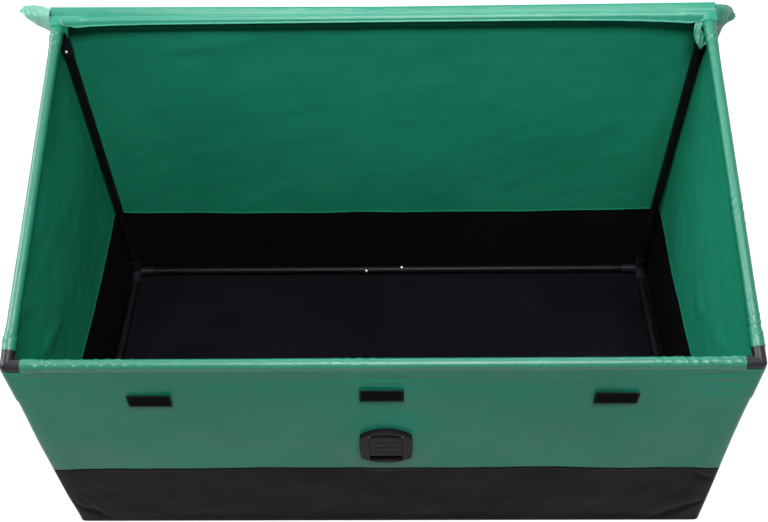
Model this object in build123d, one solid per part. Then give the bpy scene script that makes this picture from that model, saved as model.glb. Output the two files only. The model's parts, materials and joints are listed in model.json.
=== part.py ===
from build123d import *
import math
import os

# A garden storage box: a fabric box with a flap lid over a frame of steel tubes.
# +X is the box's right, +Y its rear, +Z up; the origin is the middle of the base, on the ground.
# It is drawn as it stands open, with the lid thrown back and hanging behind the rear wall.

# Frame of steel tubes, measured between the tubes' centre lines.
frame_width = 1280.0
frame_depth = 672.0
front_rail_height = 562.0
rear_rail_height = 782.0
tube_radius = 9.5
tube_wall = 1.0
rail_joint_offset = -8.0

# Moulded corner connectors, which take three tubes each.
socket_clearance = 0.08
socket_wall = 1.7
socket_stop = 14.0
arm_length = 42.0
button_arm_length = 80.0
web_reach = 25.0
web_thickness = 3.0

# Inner tubes that join the two halves of each long rail.
joiner_clearance = 0.06
joiner_wall = 1.2
joiner_length = 150.0
button_spacing = 90.0

# Snap buttons, each pushed out by a bent leaf spring.
button_radius = 4.0
button_clearance = 0.08
button_top = 13.0
button_dome = 2.1
button_travel = 3.6
button_drop = 67.0
button_low_angle = 29.0
button_high_angle = 85.0
leaf_thickness = 0.6
leaf_width = 5.0
leaf_seat = 0.05
leaf_rest = 1.3
leaf_tip = 6.0
leaf_flat = 8.0
leaf_bend = 33.0
leaf_bend_rise = 2.4
leaf_foot = 4.0
slot_clearance = 0.15
slot_contact = 0.02
slot_spare = 0.3
stem_floor = 1.2

# Coated fabric: green walls over a black lower band and floor.
fabric_thickness = 1.0
fabric_gap = 0.35
seam_gap = 0.1
seam_height = 220.0
sleeve_thickness = 0.8
sleeve_start = 26.0

# Hook patches on the front wall and loop patches on the lid.
patch_width = 78.0
patch_height = 34.0
patch_thickness = 1.2
patch_gap = 0.05
left_patch_drop = 92.5
middle_patch_drop = 79.0
right_patch_drop = 88.5
patch_spacing = 411.0

# Handle on the front wall.
handle_offset = 5.0
handle_height = 318.0
handle_half_width = 50.0
handle_half_height = 57.0
handle_proud = 9.0
handle_floor = 2.0
handle_fillet = 2.4
handle_top_shoulder_share = 0.58
handle_low_shoulder_share = 0.68
handle_shoulder_width_share = 0.96
pocket_half_width = 31.0
pocket_top = 41.0
pocket_bottom = 46.0
pocket_arch = 5.0
grip_side_gap = 1.0
grip_floor_gap = 0.4
grip_thickness = 6.0
grip_pivot = 34.0
grip_length = 64.0
grip_groove_radius = 2.0
grip_groove_pitch = 17.0
grip_groove_half_length = 22.0
grip_edge_fillet = 1.6
pin_radius = 1.5
pin_clearance = 0.05
pin_depth = 8.0
plate_half_width = 44.0
plate_half_height = 40.0
plate_thickness = 1.5
plate_corner = 8.0
screw_radius = 1.7
screw_clearance = 0.06
screw_head_radius = 3.6
screw_head_height = 2.2
screw_depth = 5.5
screw_tip_gap = 1.2
screw_half_width = 39.5
screw_half_height = 29.0

# Lid with hanging skirts, hinged along a cord behind the rear rail.
lid_gap = 0.6
lid_hang_gap = 0.4
lid_side_gap = 0.5
hem_cord_radius = 2.2
hinge_gap = 0.3
skirt_depth = 130.0
patch_meeting_gap = 0.35
left_flare_angle = 50.0
right_flare_angle = 38.0
settling_flare_share = 0.14
flare_settles = 125.0
flare_ends = 280.0

overrun = 5.0

# Worked out from the sizes above.
half_width = frame_width / 2
half_depth = frame_depth / 2
front_y = -half_depth
rear_y = half_depth
slope = math.atan2(rear_rail_height - front_rail_height, frame_depth)
arm_radius = tube_radius + socket_clearance + socket_wall
tube_bore = tube_radius - tube_wall
fabric_offset = arm_radius + fabric_gap
outer_offset = fabric_offset + fabric_thickness
floor_rail_height = fabric_thickness + fabric_gap + arm_radius
sleeve_radius = fabric_offset + sleeve_thickness
wall_drop = math.sqrt(sleeve_radius**2 - fabric_offset**2) + fabric_gap

os.makedirs("parts", exist_ok=True)


def save(name, *solids):
    """Write one node: a single solid, or a group of separate ones."""
    body = solids[0] if len(solids) == 1 else Compound(children=list(solids))
    body.label = name
    export_step(body, f"parts/{name}.step")


def rod(start, end, radius):
    """A round bar between two points."""
    line = Vector(*end) - Vector(*start)
    place = Plane(origin=start, z_dir=line)
    return place * Cylinder(radius, line.length, align=(Align.CENTER, Align.CENTER, Align.MIN))


def pipe(start, end, outer, inner):
    """A tube between two points, open at both ends."""
    line = (Vector(*end) - Vector(*start)).normalized() * overrun
    core = rod(Vector(*start) - line, Vector(*end) + line, inner)
    return rod(start, end, outer) - core


def block(low, high):
    """A box between its lowest and highest corners."""
    size = [b - a for a, b in zip(low, high)]
    return Pos(*low) * Box(*size, align=(Align.MIN, Align.MIN, Align.MIN))


def polygon_plate(points, low_x, high_x):
    """A plate that has an outline of (y, z) points and lies between two x values."""
    outline = make_face(Polyline(*[(low_x, y, z) for y, z in points], close=True))
    return extrude(outline, amount=high_x - low_x, dir=(1, 0, 0))


def along(start, direction, distance):
    """The point at a distance from a start in a unit direction."""
    return Vector(*start) + Vector(*direction) * distance


def corner(side, end, level):
    """Where the centre lines meet at one corner of the frame."""
    x = half_width * (1 if side == "right" else -1)
    y = rear_y if end == "rear" else front_y
    if level == "bottom":
        return Vector(x, y, floor_rail_height)
    return Vector(x, y, rear_rail_height if end == "rear" else front_rail_height)


def across(side):
    """The unit direction of a long rail, from one side's corner inwards."""
    return Vector(-1, 0, 0) if side == "right" else Vector(1, 0, 0)


def fore_and_aft(end, level):
    """The unit direction of a side rail, from one end's corner inwards."""
    away = 1 if end == "front" else -1
    if level == "bottom":
        return Vector(0, away, 0)
    return Vector(0, away * math.cos(slope), away * math.sin(slope))


def upright_direction(level):
    """The unit direction of an upright, from one level's corner inwards."""
    return Vector(0, 0, 1) if level == "bottom" else Vector(0, 0, -1)


def button_place(centre, axial, radial):
    """A plane on a tube's centre line, with x along the tube and z towards the button."""
    return Plane(origin=centre, x_dir=axial, z_dir=radial)


def button_bore(place):
    """The cutter for a snap button's hole in a wall."""
    reach = arm_radius + overrun
    hole = Cylinder(
        button_radius + button_clearance, reach, align=(Align.CENTER, Align.CENTER, Align.MIN)
    )
    return place * hole


def inward(end):
    """The level direction from one long side of the frame into the box."""
    return Vector(0, 1, 0) if end == "front" else Vector(0, -1, 0)


def tilted(end, angle):
    """A direction that is raised by an angle from the level direction into the box."""
    turn = math.radians(angle)
    return inward(end) * math.cos(turn) + Vector(0, 0, 1) * math.sin(turn)


def snap_button_places():
    """Every snap button's name, plane and the bore that its spring lies in."""
    joiner_bore = tube_bore - joiner_clearance - joiner_wall
    places = {}
    for end in ("front", "rear"):
        y = front_y if end == "front" else rear_y
        for side, angle in (("left", button_low_angle), ("right", button_high_angle)):
            away = across(side) * -1
            centre = Vector(rail_joint_offset, y, floor_rail_height) + away * (button_spacing / 2)
            places[f"snap_button_{end}_rail_{side}"] = (
                button_place(centre, away, tilted(end, angle)),
                joiner_bore,
            )
            top = corner(side, end, "top")
            down = upright_direction("top")
            places[f"snap_button_{end}_upright_{side}"] = (
                button_place(along(top, down, button_drop), down, inward(end)),
                tube_bore,
            )
    return places


buttons = snap_button_places()


def snap_button():
    """A domed button on a stem, with a slot that its leaf spring passes through."""
    low = leaf_rest - leaf_thickness / 2 - slot_contact
    high = leaf_rest + leaf_thickness / 2 + button_travel + slot_spare
    shoulder = button_top - button_dome
    stem = Pos(0, 0, low - stem_floor) * Cylinder(
        button_radius, shoulder - low + stem_floor, align=(Align.CENTER, Align.CENTER, Align.MIN)
    )
    ball_radius = (button_radius**2 + button_dome**2) / (2 * button_dome)
    cap = Pos(0, 0, button_top - ball_radius) * Sphere(ball_radius)
    cap &= Pos(0, 0, shoulder) * Cylinder(
        button_radius, button_dome, align=(Align.CENTER, Align.CENTER, Align.MIN)
    )
    half_slot = leaf_width / 2 + slot_clearance
    slot = block(
        (-button_radius - overrun, -half_slot, low), (button_radius + overrun, half_slot, high)
    )
    return stem + cap - slot


def leaf_spring(bore):
    """The bent leaf under a snap button: a foot on the tube's far wall and a tip in the stem."""
    foot = -(math.sqrt(bore**2 - (leaf_width / 2) ** 2) - leaf_thickness / 2 - leaf_seat)
    path = Polyline(
        (-leaf_tip, leaf_rest),
        (leaf_flat, leaf_rest),
        (leaf_bend, foot + leaf_bend_rise),
        (leaf_bend, foot),
        (leaf_foot, foot),
    )
    strip = trace(path, line_width=leaf_thickness)
    side_on = Plane(origin=(0, leaf_width / 2, 0), x_dir=(1, 0, 0), z_dir=(0, -1, 0))
    return side_on * extrude(strip, amount=leaf_width)


def connector(end, level):
    """A right-hand corner: three sockets on a round core, with a web between each two."""
    at = corner("right", end, level)
    vertical_length = button_arm_length if level == "top" else arm_length
    arms = [
        (across("right"), arm_length),
        (fore_and_aft(end, level), arm_length),
        (upright_direction(level), vertical_length),
    ]
    limbs = [rod(at, along(at, direction, length), arm_radius) for direction, length in arms]
    for first in range(len(arms)):
        one = arms[first][0]
        other = arms[(first + 1) % len(arms)][0]
        normal = one.cross(other).normalized()
        base = at - normal * (web_thickness / 2)
        points = [base, along(base, one, web_reach), along(base, other, web_reach)]
        web = make_face(Polyline(*points, close=True))
        limbs.append(extrude(web, amount=web_thickness, dir=normal))
    body = limbs[0] + limbs[1:] + Pos(*at) * Sphere(arm_radius)
    for direction, length in arms:
        mouth = along(at, direction, length + overrun)
        body -= rod(along(at, direction, socket_stop), mouth, tube_radius + socket_clearance)
    if level == "top":
        body -= button_bore(buttons[f"snap_button_{end}_upright_right"][0])
    return body


for end in ("front", "rear"):
    for level in ("top", "bottom"):
        right_hand = connector(end, level)
        save(f"connector_{end}_right_{level}", right_hand)
        save(f"connector_{end}_left_{level}", mirror(right_hand, Plane.YZ))


def upright(side, end):
    """A corner post, with a hole near its top for its snap button."""
    foot = along(corner(side, end, "bottom"), upright_direction("bottom"), socket_stop)
    head = along(corner(side, end, "top"), upright_direction("top"), socket_stop)
    post = pipe(foot, head, tube_radius, tube_bore)
    return post - button_bore(buttons[f"snap_button_{end}_upright_{side}"][0])


def rail_half(side, end, level):
    """Half of a long rail, from its connector to the joint near the middle."""
    at = corner(side, end, level)
    start = along(at, across(side), socket_stop)
    rail = pipe(start, Vector(rail_joint_offset, at.Y, at.Z), tube_radius, tube_bore)
    if level == "bottom":
        rail -= button_bore(buttons[f"snap_button_{end}_rail_{side}"][0])
    return rail


def side_rail(side, level):
    """A side rail, which slopes up to the rear at the top of the box."""
    front = along(corner(side, "front", level), fore_and_aft("front", level), socket_stop)
    rear = along(corner(side, "rear", level), fore_and_aft("rear", level), socket_stop)
    return pipe(front, rear, tube_radius, tube_bore)


def rail_joiner(end, level):
    """The inner tube that joins the two halves of a long rail."""
    at = corner("left", end, level)
    outer = tube_bore - joiner_clearance
    half = joiner_length / 2
    low = Vector(rail_joint_offset - half, at.Y, at.Z)
    high = Vector(rail_joint_offset + half, at.Y, at.Z)
    joiner = pipe(low, high, outer, outer - joiner_wall)
    if level == "bottom":
        for side in ("left", "right"):
            joiner -= button_bore(buttons[f"snap_button_{end}_rail_{side}"][0])
    return joiner


for side in ("left", "right"):
    for end in ("front", "rear"):
        save(f"upright_{end}_{side}", upright(side, end))
        for level in ("top", "bottom"):
            save(f"{end}_{level}_rail_{side}", rail_half(side, end, level))
    for level in ("top", "bottom"):
        save(f"side_{level}_rail_{side}", side_rail(side, level))
save(
    "rail_joiners",
    *[rail_joiner(end, level) for end in ("front", "rear") for level in ("top", "bottom")],
)

for name, (place, bore) in buttons.items():
    save(name, place * snap_button())
save("snap_springs", *[place * leaf_spring(bore) for place, bore in buttons.values()])

# The fabric box: plates outside the frame, in line with the connectors' outer sides.
wall_inside_x = half_width + fabric_offset
wall_outside_x = half_width + outer_offset
wall_inside_y = half_depth + fabric_offset
wall_outside_y = half_depth + outer_offset


def end_wall_span(end):
    """The y values of the front or rear wall's two faces, lowest first."""
    if end == "front":
        return -wall_outside_y, -wall_inside_y
    return wall_inside_y, wall_outside_y


def end_wall(end, low, high):
    """A front or rear wall between two heights."""
    near, far = end_wall_span(end)
    reach = wall_inside_x - seam_gap
    return block((-reach, near, low), (reach, far, high))


def side_span(side):
    """The x values of a side wall's two faces, lowest first."""
    if side == "left":
        return -wall_outside_x, -wall_inside_x
    return wall_inside_x, wall_outside_x


def side_wall_top(y):
    """The height of a side wall's sloping top edge."""
    return front_rail_height + (y - front_y) * math.tan(slope) - wall_drop / math.cos(slope)


handle_z = handle_height
front_face = -wall_outside_y
screw_places = [
    (handle_offset + x * screw_half_width, handle_z + z * screw_half_height)
    for x in (-1, 1)
    for z in (-1, 1)
]


def screw_holes(radius, low_y, high_y):
    """Cutters for the four handle screws, along Y."""
    return [rod((x, low_y, z), (x, high_y, z), radius) for x, z in screw_places]


green_low = seam_height + seam_gap / 2
band_high = seam_height - seam_gap / 2
front_wall = end_wall("front", green_low, front_rail_height - wall_drop)
for hole in screw_holes(screw_radius + screw_clearance, front_face - overrun, -half_depth):
    front_wall -= hole
save("front_wall", front_wall)
save("rear_wall", end_wall("rear", green_low, rear_rail_height - wall_drop))
for end in ("front", "rear"):
    save(f"{end}_band", end_wall(end, 0, band_high))
for side in ("left", "right"):
    low_x, high_x = side_span(side)
    edge = [
        (-wall_outside_y, green_low),
        (wall_outside_y, green_low),
        (wall_outside_y, side_wall_top(wall_outside_y)),
        (-wall_outside_y, side_wall_top(-wall_outside_y)),
    ]
    save(f"{side}_wall", polygon_plate(edge, low_x, high_x))
    save(f"{side}_band", block((low_x, -wall_outside_y, 0), (high_x, wall_outside_y, band_high)))
floor_x = wall_inside_x - seam_gap
floor_y = wall_inside_y - seam_gap
save("floor_panel", block((-floor_x, -floor_y, 0), (floor_x, floor_y, fabric_thickness)))


def sleeve(start, end):
    """A fabric sleeve round a top rail, which stops short of the corners."""
    line = (Vector(*end) - Vector(*start)).normalized()
    low = along(start, line, sleeve_start)
    high = along(end, line, -sleeve_start)
    return pipe(low, high, sleeve_radius, fabric_offset)


for end in ("front", "rear"):
    save(f"{end}_sleeve", sleeve(corner("left", end, "top"), corner("right", end, "top")))
for side in ("left", "right"):
    save(f"{side}_sleeve", sleeve(corner(side, "front", "top"), corner(side, "rear", "top")))

patch_drops = {
    -patch_spacing: left_patch_drop,
    0: middle_patch_drop,
    patch_spacing: right_patch_drop,
}


def patches(low_y):
    """Three flat patches along X, which don't quite line up, because they are sewn on by hand."""
    plates = []
    for x, drop in patch_drops.items():
        low_z = front_rail_height - drop - patch_height / 2
        plates.append(
            block(
                (x - patch_width / 2, low_y, low_z),
                (x + patch_width / 2, low_y + patch_thickness, low_z + patch_height),
            )
        )
    return plates


save("hook_patches", *patches(front_face - patch_gap - patch_thickness))

# Handle: a moulded housing with a pocket, and a grip that flips out on two pins.
handle_plane = Plane(
    origin=(handle_offset, front_face - patch_gap, handle_z), x_dir=(1, 0, 0), z_dir=(0, -1, 0)
)


def handle_outline():
    """The housing's face: a barrel with an arched top and bottom."""
    wide = handle_half_width
    tall = handle_half_height
    shoulder = wide * handle_shoulder_width_share
    top = tall * handle_top_shoulder_share
    low = -tall * handle_low_shoulder_share
    middle = (top + low) / 2
    edges = [
        ThreePointArc((-shoulder, top), (0, tall), (shoulder, top)),
        ThreePointArc((shoulder, top), (wide, middle), (shoulder, low)),
        ThreePointArc((shoulder, low), (0, -tall), (-shoulder, low)),
        ThreePointArc((-shoulder, low), (-wide, middle), (-shoulder, top)),
    ]
    return make_face(edges)


def pocket_outline():
    """The pocket's mouth: straight sides and an arched top."""
    wide = pocket_half_width
    edges = [
        Line((-wide, -pocket_bottom), (wide, -pocket_bottom)),
        Line((wide, -pocket_bottom), (wide, pocket_top)),
        ThreePointArc((wide, pocket_top), (0, pocket_top + pocket_arch), (-wide, pocket_top)),
        Line((-wide, pocket_top), (-wide, -pocket_bottom)),
    ]
    return make_face(edges)


pivot_depth = handle_floor + grip_floor_gap + grip_thickness / 2
pivot_y = front_face - patch_gap - pivot_depth
pivot_z = handle_z + grip_pivot
grip_half_width = pocket_half_width - grip_side_gap


def pin(sign):
    """A grip pin, half in the housing's side and half in the grip."""
    inner = handle_offset + sign * (grip_half_width - pin_depth)
    outer = handle_offset + sign * (pocket_half_width + pin_depth)
    return rod((inner, pivot_y, pivot_z), (outer, pivot_y, pivot_z), pin_radius)


def pin_bore():
    """The cutter for both pins' holes."""
    reach = pocket_half_width + pin_depth
    low = (handle_offset - reach, pivot_y, pivot_z)
    high = (handle_offset + reach, pivot_y, pivot_z)
    return rod(low, high, pin_radius + pin_clearance)


housing = extrude(handle_outline(), amount=handle_proud)
housing = fillet(housing.faces().sort_by(Axis.Z)[-1].edges(), handle_fillet)
housing -= Pos(0, 0, handle_floor) * extrude(pocket_outline(), amount=handle_proud)
housing = handle_plane * housing - pin_bore()
screw_tip_y = front_face - patch_gap - screw_depth
for hole in screw_holes(screw_radius + screw_clearance, screw_tip_y - screw_tip_gap, front_y):
    housing -= hole
save("handle_housing", housing)
save("handle_pins", pin(-1), pin(1))

grip = block(
    (handle_offset - grip_half_width, pivot_y - grip_thickness / 2, pivot_z - grip_length),
    (handle_offset + grip_half_width, pivot_y + grip_thickness / 2, pivot_z),
)
foot_edges = grip.edges().filter_by(Axis.X).group_by(Axis.Z)[0]
grip = fillet(foot_edges, grip_edge_fillet)
grip += rod(
    (handle_offset - grip_half_width, pivot_y, pivot_z),
    (handle_offset + grip_half_width, pivot_y, pivot_z),
    grip_thickness / 2,
)
for row in (1, 2, 3):
    groove_z = pivot_z - row * grip_groove_pitch
    groove_y = pivot_y - grip_thickness / 2
    low = (handle_offset - grip_groove_half_length, groove_y, groove_z)
    high = (handle_offset + grip_groove_half_length, groove_y, groove_z)
    grip -= rod(low, high, grip_groove_radius)
save("handle_grip", grip - pin_bore())

plate_low_y = -wall_inside_y + patch_gap
backing = Rectangle(2 * plate_half_width, 2 * plate_half_height)
backing = fillet(backing.vertices(), plate_corner)
backing = Plane(
    origin=(handle_offset, plate_low_y, handle_z), x_dir=(1, 0, 0), z_dir=(0, -1, 0)
) * extrude(backing, amount=-plate_thickness)
for hole in screw_holes(screw_radius + screw_clearance, plate_low_y - overrun, -half_depth):
    backing -= hole
save("handle_backing_plate", backing)
head_y = plate_low_y + plate_thickness + patch_gap
screws = [
    rod((x, screw_tip_y, z), (x, head_y, z), screw_radius)
    + rod((x, head_y, z), (x, head_y + screw_head_height, z), screw_head_radius)
    for x, z in screw_places
]
save("handle_screws", *screws)

# The lid, drawn shut and then turned back about its hinge to hang behind the box.
lid_rail_offset = sleeve_radius + lid_gap + fabric_thickness / 2
hinge_back = outer_offset + lid_hang_gap + hem_cord_radius
hinge_y = rear_y + hinge_back
hinge_rise = (lid_rail_offset + math.sin(slope) * hinge_back) / math.cos(slope)
hinge_z = rear_rail_height + hinge_rise
closed_angle = 270 + math.degrees(slope)
hook_face = front_face - patch_gap - patch_thickness
loop_low_y = hook_face - patch_meeting_gap - patch_thickness
skirt_inside_y = loop_low_y - patch_gap
skirt_outside_y = skirt_inside_y - fabric_thickness
skirt_inside_x = wall_outside_x + lid_side_gap
skirt_outside_x = skirt_inside_x + fabric_thickness
lid_start = hem_cord_radius + hinge_gap
rise = fabric_thickness / 2 / math.cos(slope)


def thrown_back(solid):
    """Turn a piece of the shut lid about the hinge to where it hangs."""
    return Pos(0, hinge_y, hinge_z) * Rot(-closed_angle, 0, 0) * Pos(0, -hinge_y, -hinge_z) * solid


def lid_line(y):
    """The height of the shut lid's middle surface."""
    return hinge_z - (hinge_y - y) * math.tan(slope)


def skirt_top(y):
    """The height of the skirts' top edge, just under the shut lid."""
    return lid_line(y) - rise - seam_gap


panel_rear = Vector(0, hinge_y - lid_start * math.cos(slope), hinge_z - lid_start * math.sin(slope))
across_panel = Vector(0, -math.sin(slope), math.cos(slope)) * (fabric_thickness / 2)
panel_edge = [
    (panel_rear.Y + across_panel.Y, panel_rear.Z + across_panel.Z),
    (panel_rear.Y - across_panel.Y, panel_rear.Z - across_panel.Z),
    (skirt_outside_y, lid_line(skirt_outside_y) - rise),
    (skirt_outside_y, lid_line(skirt_outside_y) + rise),
]
save("lid_panel", thrown_back(polygon_plate(panel_edge, -skirt_outside_x, skirt_outside_x)))

front_skirt = block(
    (-skirt_outside_x, skirt_outside_y, skirt_top(skirt_outside_y) - skirt_depth),
    (skirt_outside_x, skirt_inside_y, skirt_top(skirt_outside_y)),
)
save("lid_front_skirt", thrown_back(front_skirt))
save("loop_patches", *[thrown_back(patch) for patch in patches(loop_low_y)])


def skirt_section(sign, y, flare):
    """A thin upright section of a side skirt, swung outwards by an angle at its top."""
    turn = math.radians(flare)
    out = Vector(sign * math.sin(turn), 0, -math.cos(turn)) * skirt_depth
    thick = Vector(sign * math.cos(turn), 0, math.sin(turn)) * fabric_thickness
    start = Vector(sign * skirt_inside_x, y, skirt_top(y) - fabric_thickness * math.sin(turn))
    corners = [start, start + out, start + out + thick, start + thick]
    return make_face(Polyline(*corners, close=True))


def side_skirt(sign, flare):
    """A side skirt that flares at the hinge and hangs straight further on."""
    stations = [
        (panel_rear.Y - seam_gap, flare),
        (hinge_y - flare_settles, flare * settling_flare_share),
        (hinge_y - flare_ends, 0),
        (skirt_inside_y + seam_gap, 0),
    ]
    return loft([skirt_section(sign, y, angle) for y, angle in stations], ruled=True)


save("lid_left_skirt", thrown_back(side_skirt(-1, left_flare_angle)))
save("lid_right_skirt", thrown_back(side_skirt(1, right_flare_angle)))

# The hinge strip, sewn to the rear sleeve, with a cord in its hem on the hinge line.
strip_reach = half_width - sleeve_start
strip_length = math.hypot(hinge_back, hinge_rise)
strip_angle = math.degrees(math.atan2(hinge_rise, hinge_back))
strip = block(
    (-strip_reach, sleeve_radius + seam_gap, -fabric_thickness / 2),
    (strip_reach, strip_length - hem_cord_radius / 2, fabric_thickness / 2),
)
strip = Pos(0, rear_y, rear_rail_height) * Rot(strip_angle, 0, 0) * strip
strip += rod((-strip_reach, hinge_y, hinge_z), (strip_reach, hinge_y, hinge_z), hem_cord_radius)
save("lid_hinge_strip", strip)

print("hinge at", round(hinge_y, 3), round(hinge_z, 3), "shuts at", round(closed_angle, 3))
print("grip pivot at", handle_offset, round(pivot_y, 3), round(pivot_z, 3))
for name, (place, bore) in buttons.items():
    print(name, "moves along", [round(-value, 6) for value in place.z_dir])
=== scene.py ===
"""Garden storage box: cloth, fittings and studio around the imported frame, in metres."""

import json
import logging
import math
from dataclasses import dataclass, field
from enum import Enum
from typing import Any, Callable, Iterable, Optional

import bpy
import numpy as np
from mathutils import Matrix, Vector

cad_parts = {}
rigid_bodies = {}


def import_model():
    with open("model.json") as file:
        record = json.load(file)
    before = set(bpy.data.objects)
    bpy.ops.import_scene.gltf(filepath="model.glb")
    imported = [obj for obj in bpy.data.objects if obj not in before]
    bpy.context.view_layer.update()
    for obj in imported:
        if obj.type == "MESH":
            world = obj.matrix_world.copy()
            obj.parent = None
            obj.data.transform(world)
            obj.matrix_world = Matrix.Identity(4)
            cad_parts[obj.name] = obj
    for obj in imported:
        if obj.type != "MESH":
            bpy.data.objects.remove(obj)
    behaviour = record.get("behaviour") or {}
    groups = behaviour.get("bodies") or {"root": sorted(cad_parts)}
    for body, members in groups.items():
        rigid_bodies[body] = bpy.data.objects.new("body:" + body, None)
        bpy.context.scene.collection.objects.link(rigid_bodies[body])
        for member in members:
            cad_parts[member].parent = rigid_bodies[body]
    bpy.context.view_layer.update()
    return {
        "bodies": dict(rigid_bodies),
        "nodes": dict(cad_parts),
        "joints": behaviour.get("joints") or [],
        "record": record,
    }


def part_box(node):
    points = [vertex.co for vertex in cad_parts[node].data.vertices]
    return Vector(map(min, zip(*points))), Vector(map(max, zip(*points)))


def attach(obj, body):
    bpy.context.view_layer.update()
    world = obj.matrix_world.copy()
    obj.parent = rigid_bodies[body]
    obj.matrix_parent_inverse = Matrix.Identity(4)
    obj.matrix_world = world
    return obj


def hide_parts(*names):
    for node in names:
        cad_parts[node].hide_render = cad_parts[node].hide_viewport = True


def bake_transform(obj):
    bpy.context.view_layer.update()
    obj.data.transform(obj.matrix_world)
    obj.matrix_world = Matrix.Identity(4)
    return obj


for leftover in list(bpy.data.objects):
    bpy.data.objects.remove(leftover)
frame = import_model()

log = logging.getLogger("garden_box")
Array = np.ndarray


class Side(Enum):
    """The box's left and right, as signs of x."""

    LEFT = -1
    RIGHT = 1

    @property
    def word(self) -> str:
        """The side's name in the frame's node names."""
        return self.name.lower()


class Thread(Enum):
    """The two sewing threads, by their materials' names in the palette."""

    GREEN = "green_thread"
    BLACK = "black_thread"


class Pile(Enum):
    """What stands on a fastening tape."""

    HOOKS = "hooks"
    LOOPS = "loops"


class Held(Enum):
    HUNG = "hung"
    STRETCHED = "stretched"
    GATHERED = "gathered"
    LAID = "laid"
    FOLDED = "folded"


# Materials.


def linear(hex_colour: str) -> tuple[float, float, float, float]:
    """Turn an sRGB hex colour into the linear values that a shader takes.

    Args:
        hex_colour: Six hex digits, such as "1E6E50".

    Returns:
        Red, green, blue and an alpha of one.
    """
    channels = [int(hex_colour[i : i + 2], 16) / 255 for i in (0, 2, 4)]
    toe, slope, offset, power = 0.04045, 12.92, 0.055, 2.4
    values = [c / slope if c <= toe else ((c + offset) / (1 + offset)) ** power for c in channels]
    return (*values, 1.0)


def feed(tree: bpy.types.NodeTree, node: bpy.types.Node, inputs: dict[Any, Any]) -> None:
    """Give a node's inputs their constants, or link the outputs that feed them."""
    for key, value in inputs.items():
        if isinstance(value, bpy.types.NodeSocket):
            tree.links.new(value, node.inputs[key])
        else:
            node.inputs[key].default_value = value


def add_node(
    tree: bpy.types.NodeTree, kind: str, inputs: Optional[dict[Any, Any]] = None, **settings: Any
) -> bpy.types.Node:
    """Add a node to a tree, with its settings, its constants and its links.

    Args:
        tree: The shader or geometry tree.
        kind: The node's type name.
        inputs: Input names or numbers, each with a constant or the output that feeds it.
        settings: The node's own properties.

    Returns:
        The new node.
    """
    node = tree.nodes.new(kind)
    for name, value in settings.items():
        setattr(node, name, value)
    feed(tree, node, inputs or {})
    return node


def rays_to_the_eye(tree: bpy.types.NodeTree) -> bpy.types.NodeSocket:
    """One for camera, glossy and transmission rays, which show a white surface itself."""
    rays = add_node(tree, "ShaderNodeLightPath").outputs
    seen = rays["Is Camera Ray"]
    for kind in ("Is Glossy Ray", "Is Transmission Ray"):
        larger = add_node(tree, "ShaderNodeMath", {0: seen, 1: rays[kind]}, operation="MAXIMUM")
        seen = larger.outputs[0]
    return seen


@dataclass
class Surface:
    """A material in the making: a Principled shader and the patterns that feed it.

    Attributes:
        name: The real material's name.
        on: The coordinates that its patterns lie on, Object or UV, both in metres.
    """

    name: str
    on: str = "Object"
    material: bpy.types.Material = field(init=False)
    tree: bpy.types.NodeTree = field(init=False)
    shader: bpy.types.Node = field(init=False)
    output: bpy.types.Node = field(init=False)
    place: bpy.types.NodeSocket = field(init=False)

    def __post_init__(self) -> None:
        """Start the tree with its shader, its output and its coordinates."""
        self.material = bpy.data.materials.new(self.name)
        self.material.use_nodes = True
        self.tree = self.material.node_tree
        self.tree.nodes.clear()
        self.shader = self.add("ShaderNodeBsdfPrincipled")
        self.output = self.add("ShaderNodeOutputMaterial", {"Surface": self.shader.outputs["BSDF"]})
        self.place = self.add("ShaderNodeTexCoord").outputs[self.on]

    def add(self, kind: str, inputs: Optional[dict[Any, Any]] = None, **settings: Any) -> bpy.types.Node:
        """Add a node to the tree."""
        return add_node(self.tree, kind, inputs, **settings)

    def noise(self, scale: float, **more: float) -> bpy.types.NodeSocket:
        """Add soft random patches, so many to the metre."""
        inputs = {"Vector": self.place, "Scale": scale, **more}
        return self.add("ShaderNodeTexNoise", inputs).outputs["Fac"]

    def remap(self, value: bpy.types.NodeSocket, low: float, high: float, start: float = 0.0,
              end: float = 1.0) -> bpy.types.NodeSocket:
        """Turn values from start to end into values from low to high."""
        inputs = {"Value": value, "From Min": start, "From Max": end, "To Min": low, "To Max": high}
        return self.add("ShaderNodeMapRange", inputs).outputs[0]

    def mix(self, share: bpy.types.NodeSocket, first: str, second: str) -> bpy.types.NodeSocket:
        """Mix two sRGB hex colours."""
        inputs = {0: share, 6: linear(first), 7: linear(second)}
        return self.add("ShaderNodeMix", inputs, data_type="RGBA").outputs[2]

    def bump(self, height: bpy.types.NodeSocket, depth: float, strength: float,
             **more: bpy.types.NodeSocket) -> bpy.types.NodeSocket:
        """Stand a pattern out of the surface by its depth in metres."""
        inputs = {"Height": height, "Distance": depth, "Strength": strength, **more}
        return self.add("ShaderNodeBump", inputs).outputs["Normal"]

    def finish(self, inputs: dict[str, Any]) -> bpy.types.Material:
        """Feed the shader and hand the material over."""
        feed(self.tree, self.shader, inputs)
        return self.material


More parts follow.
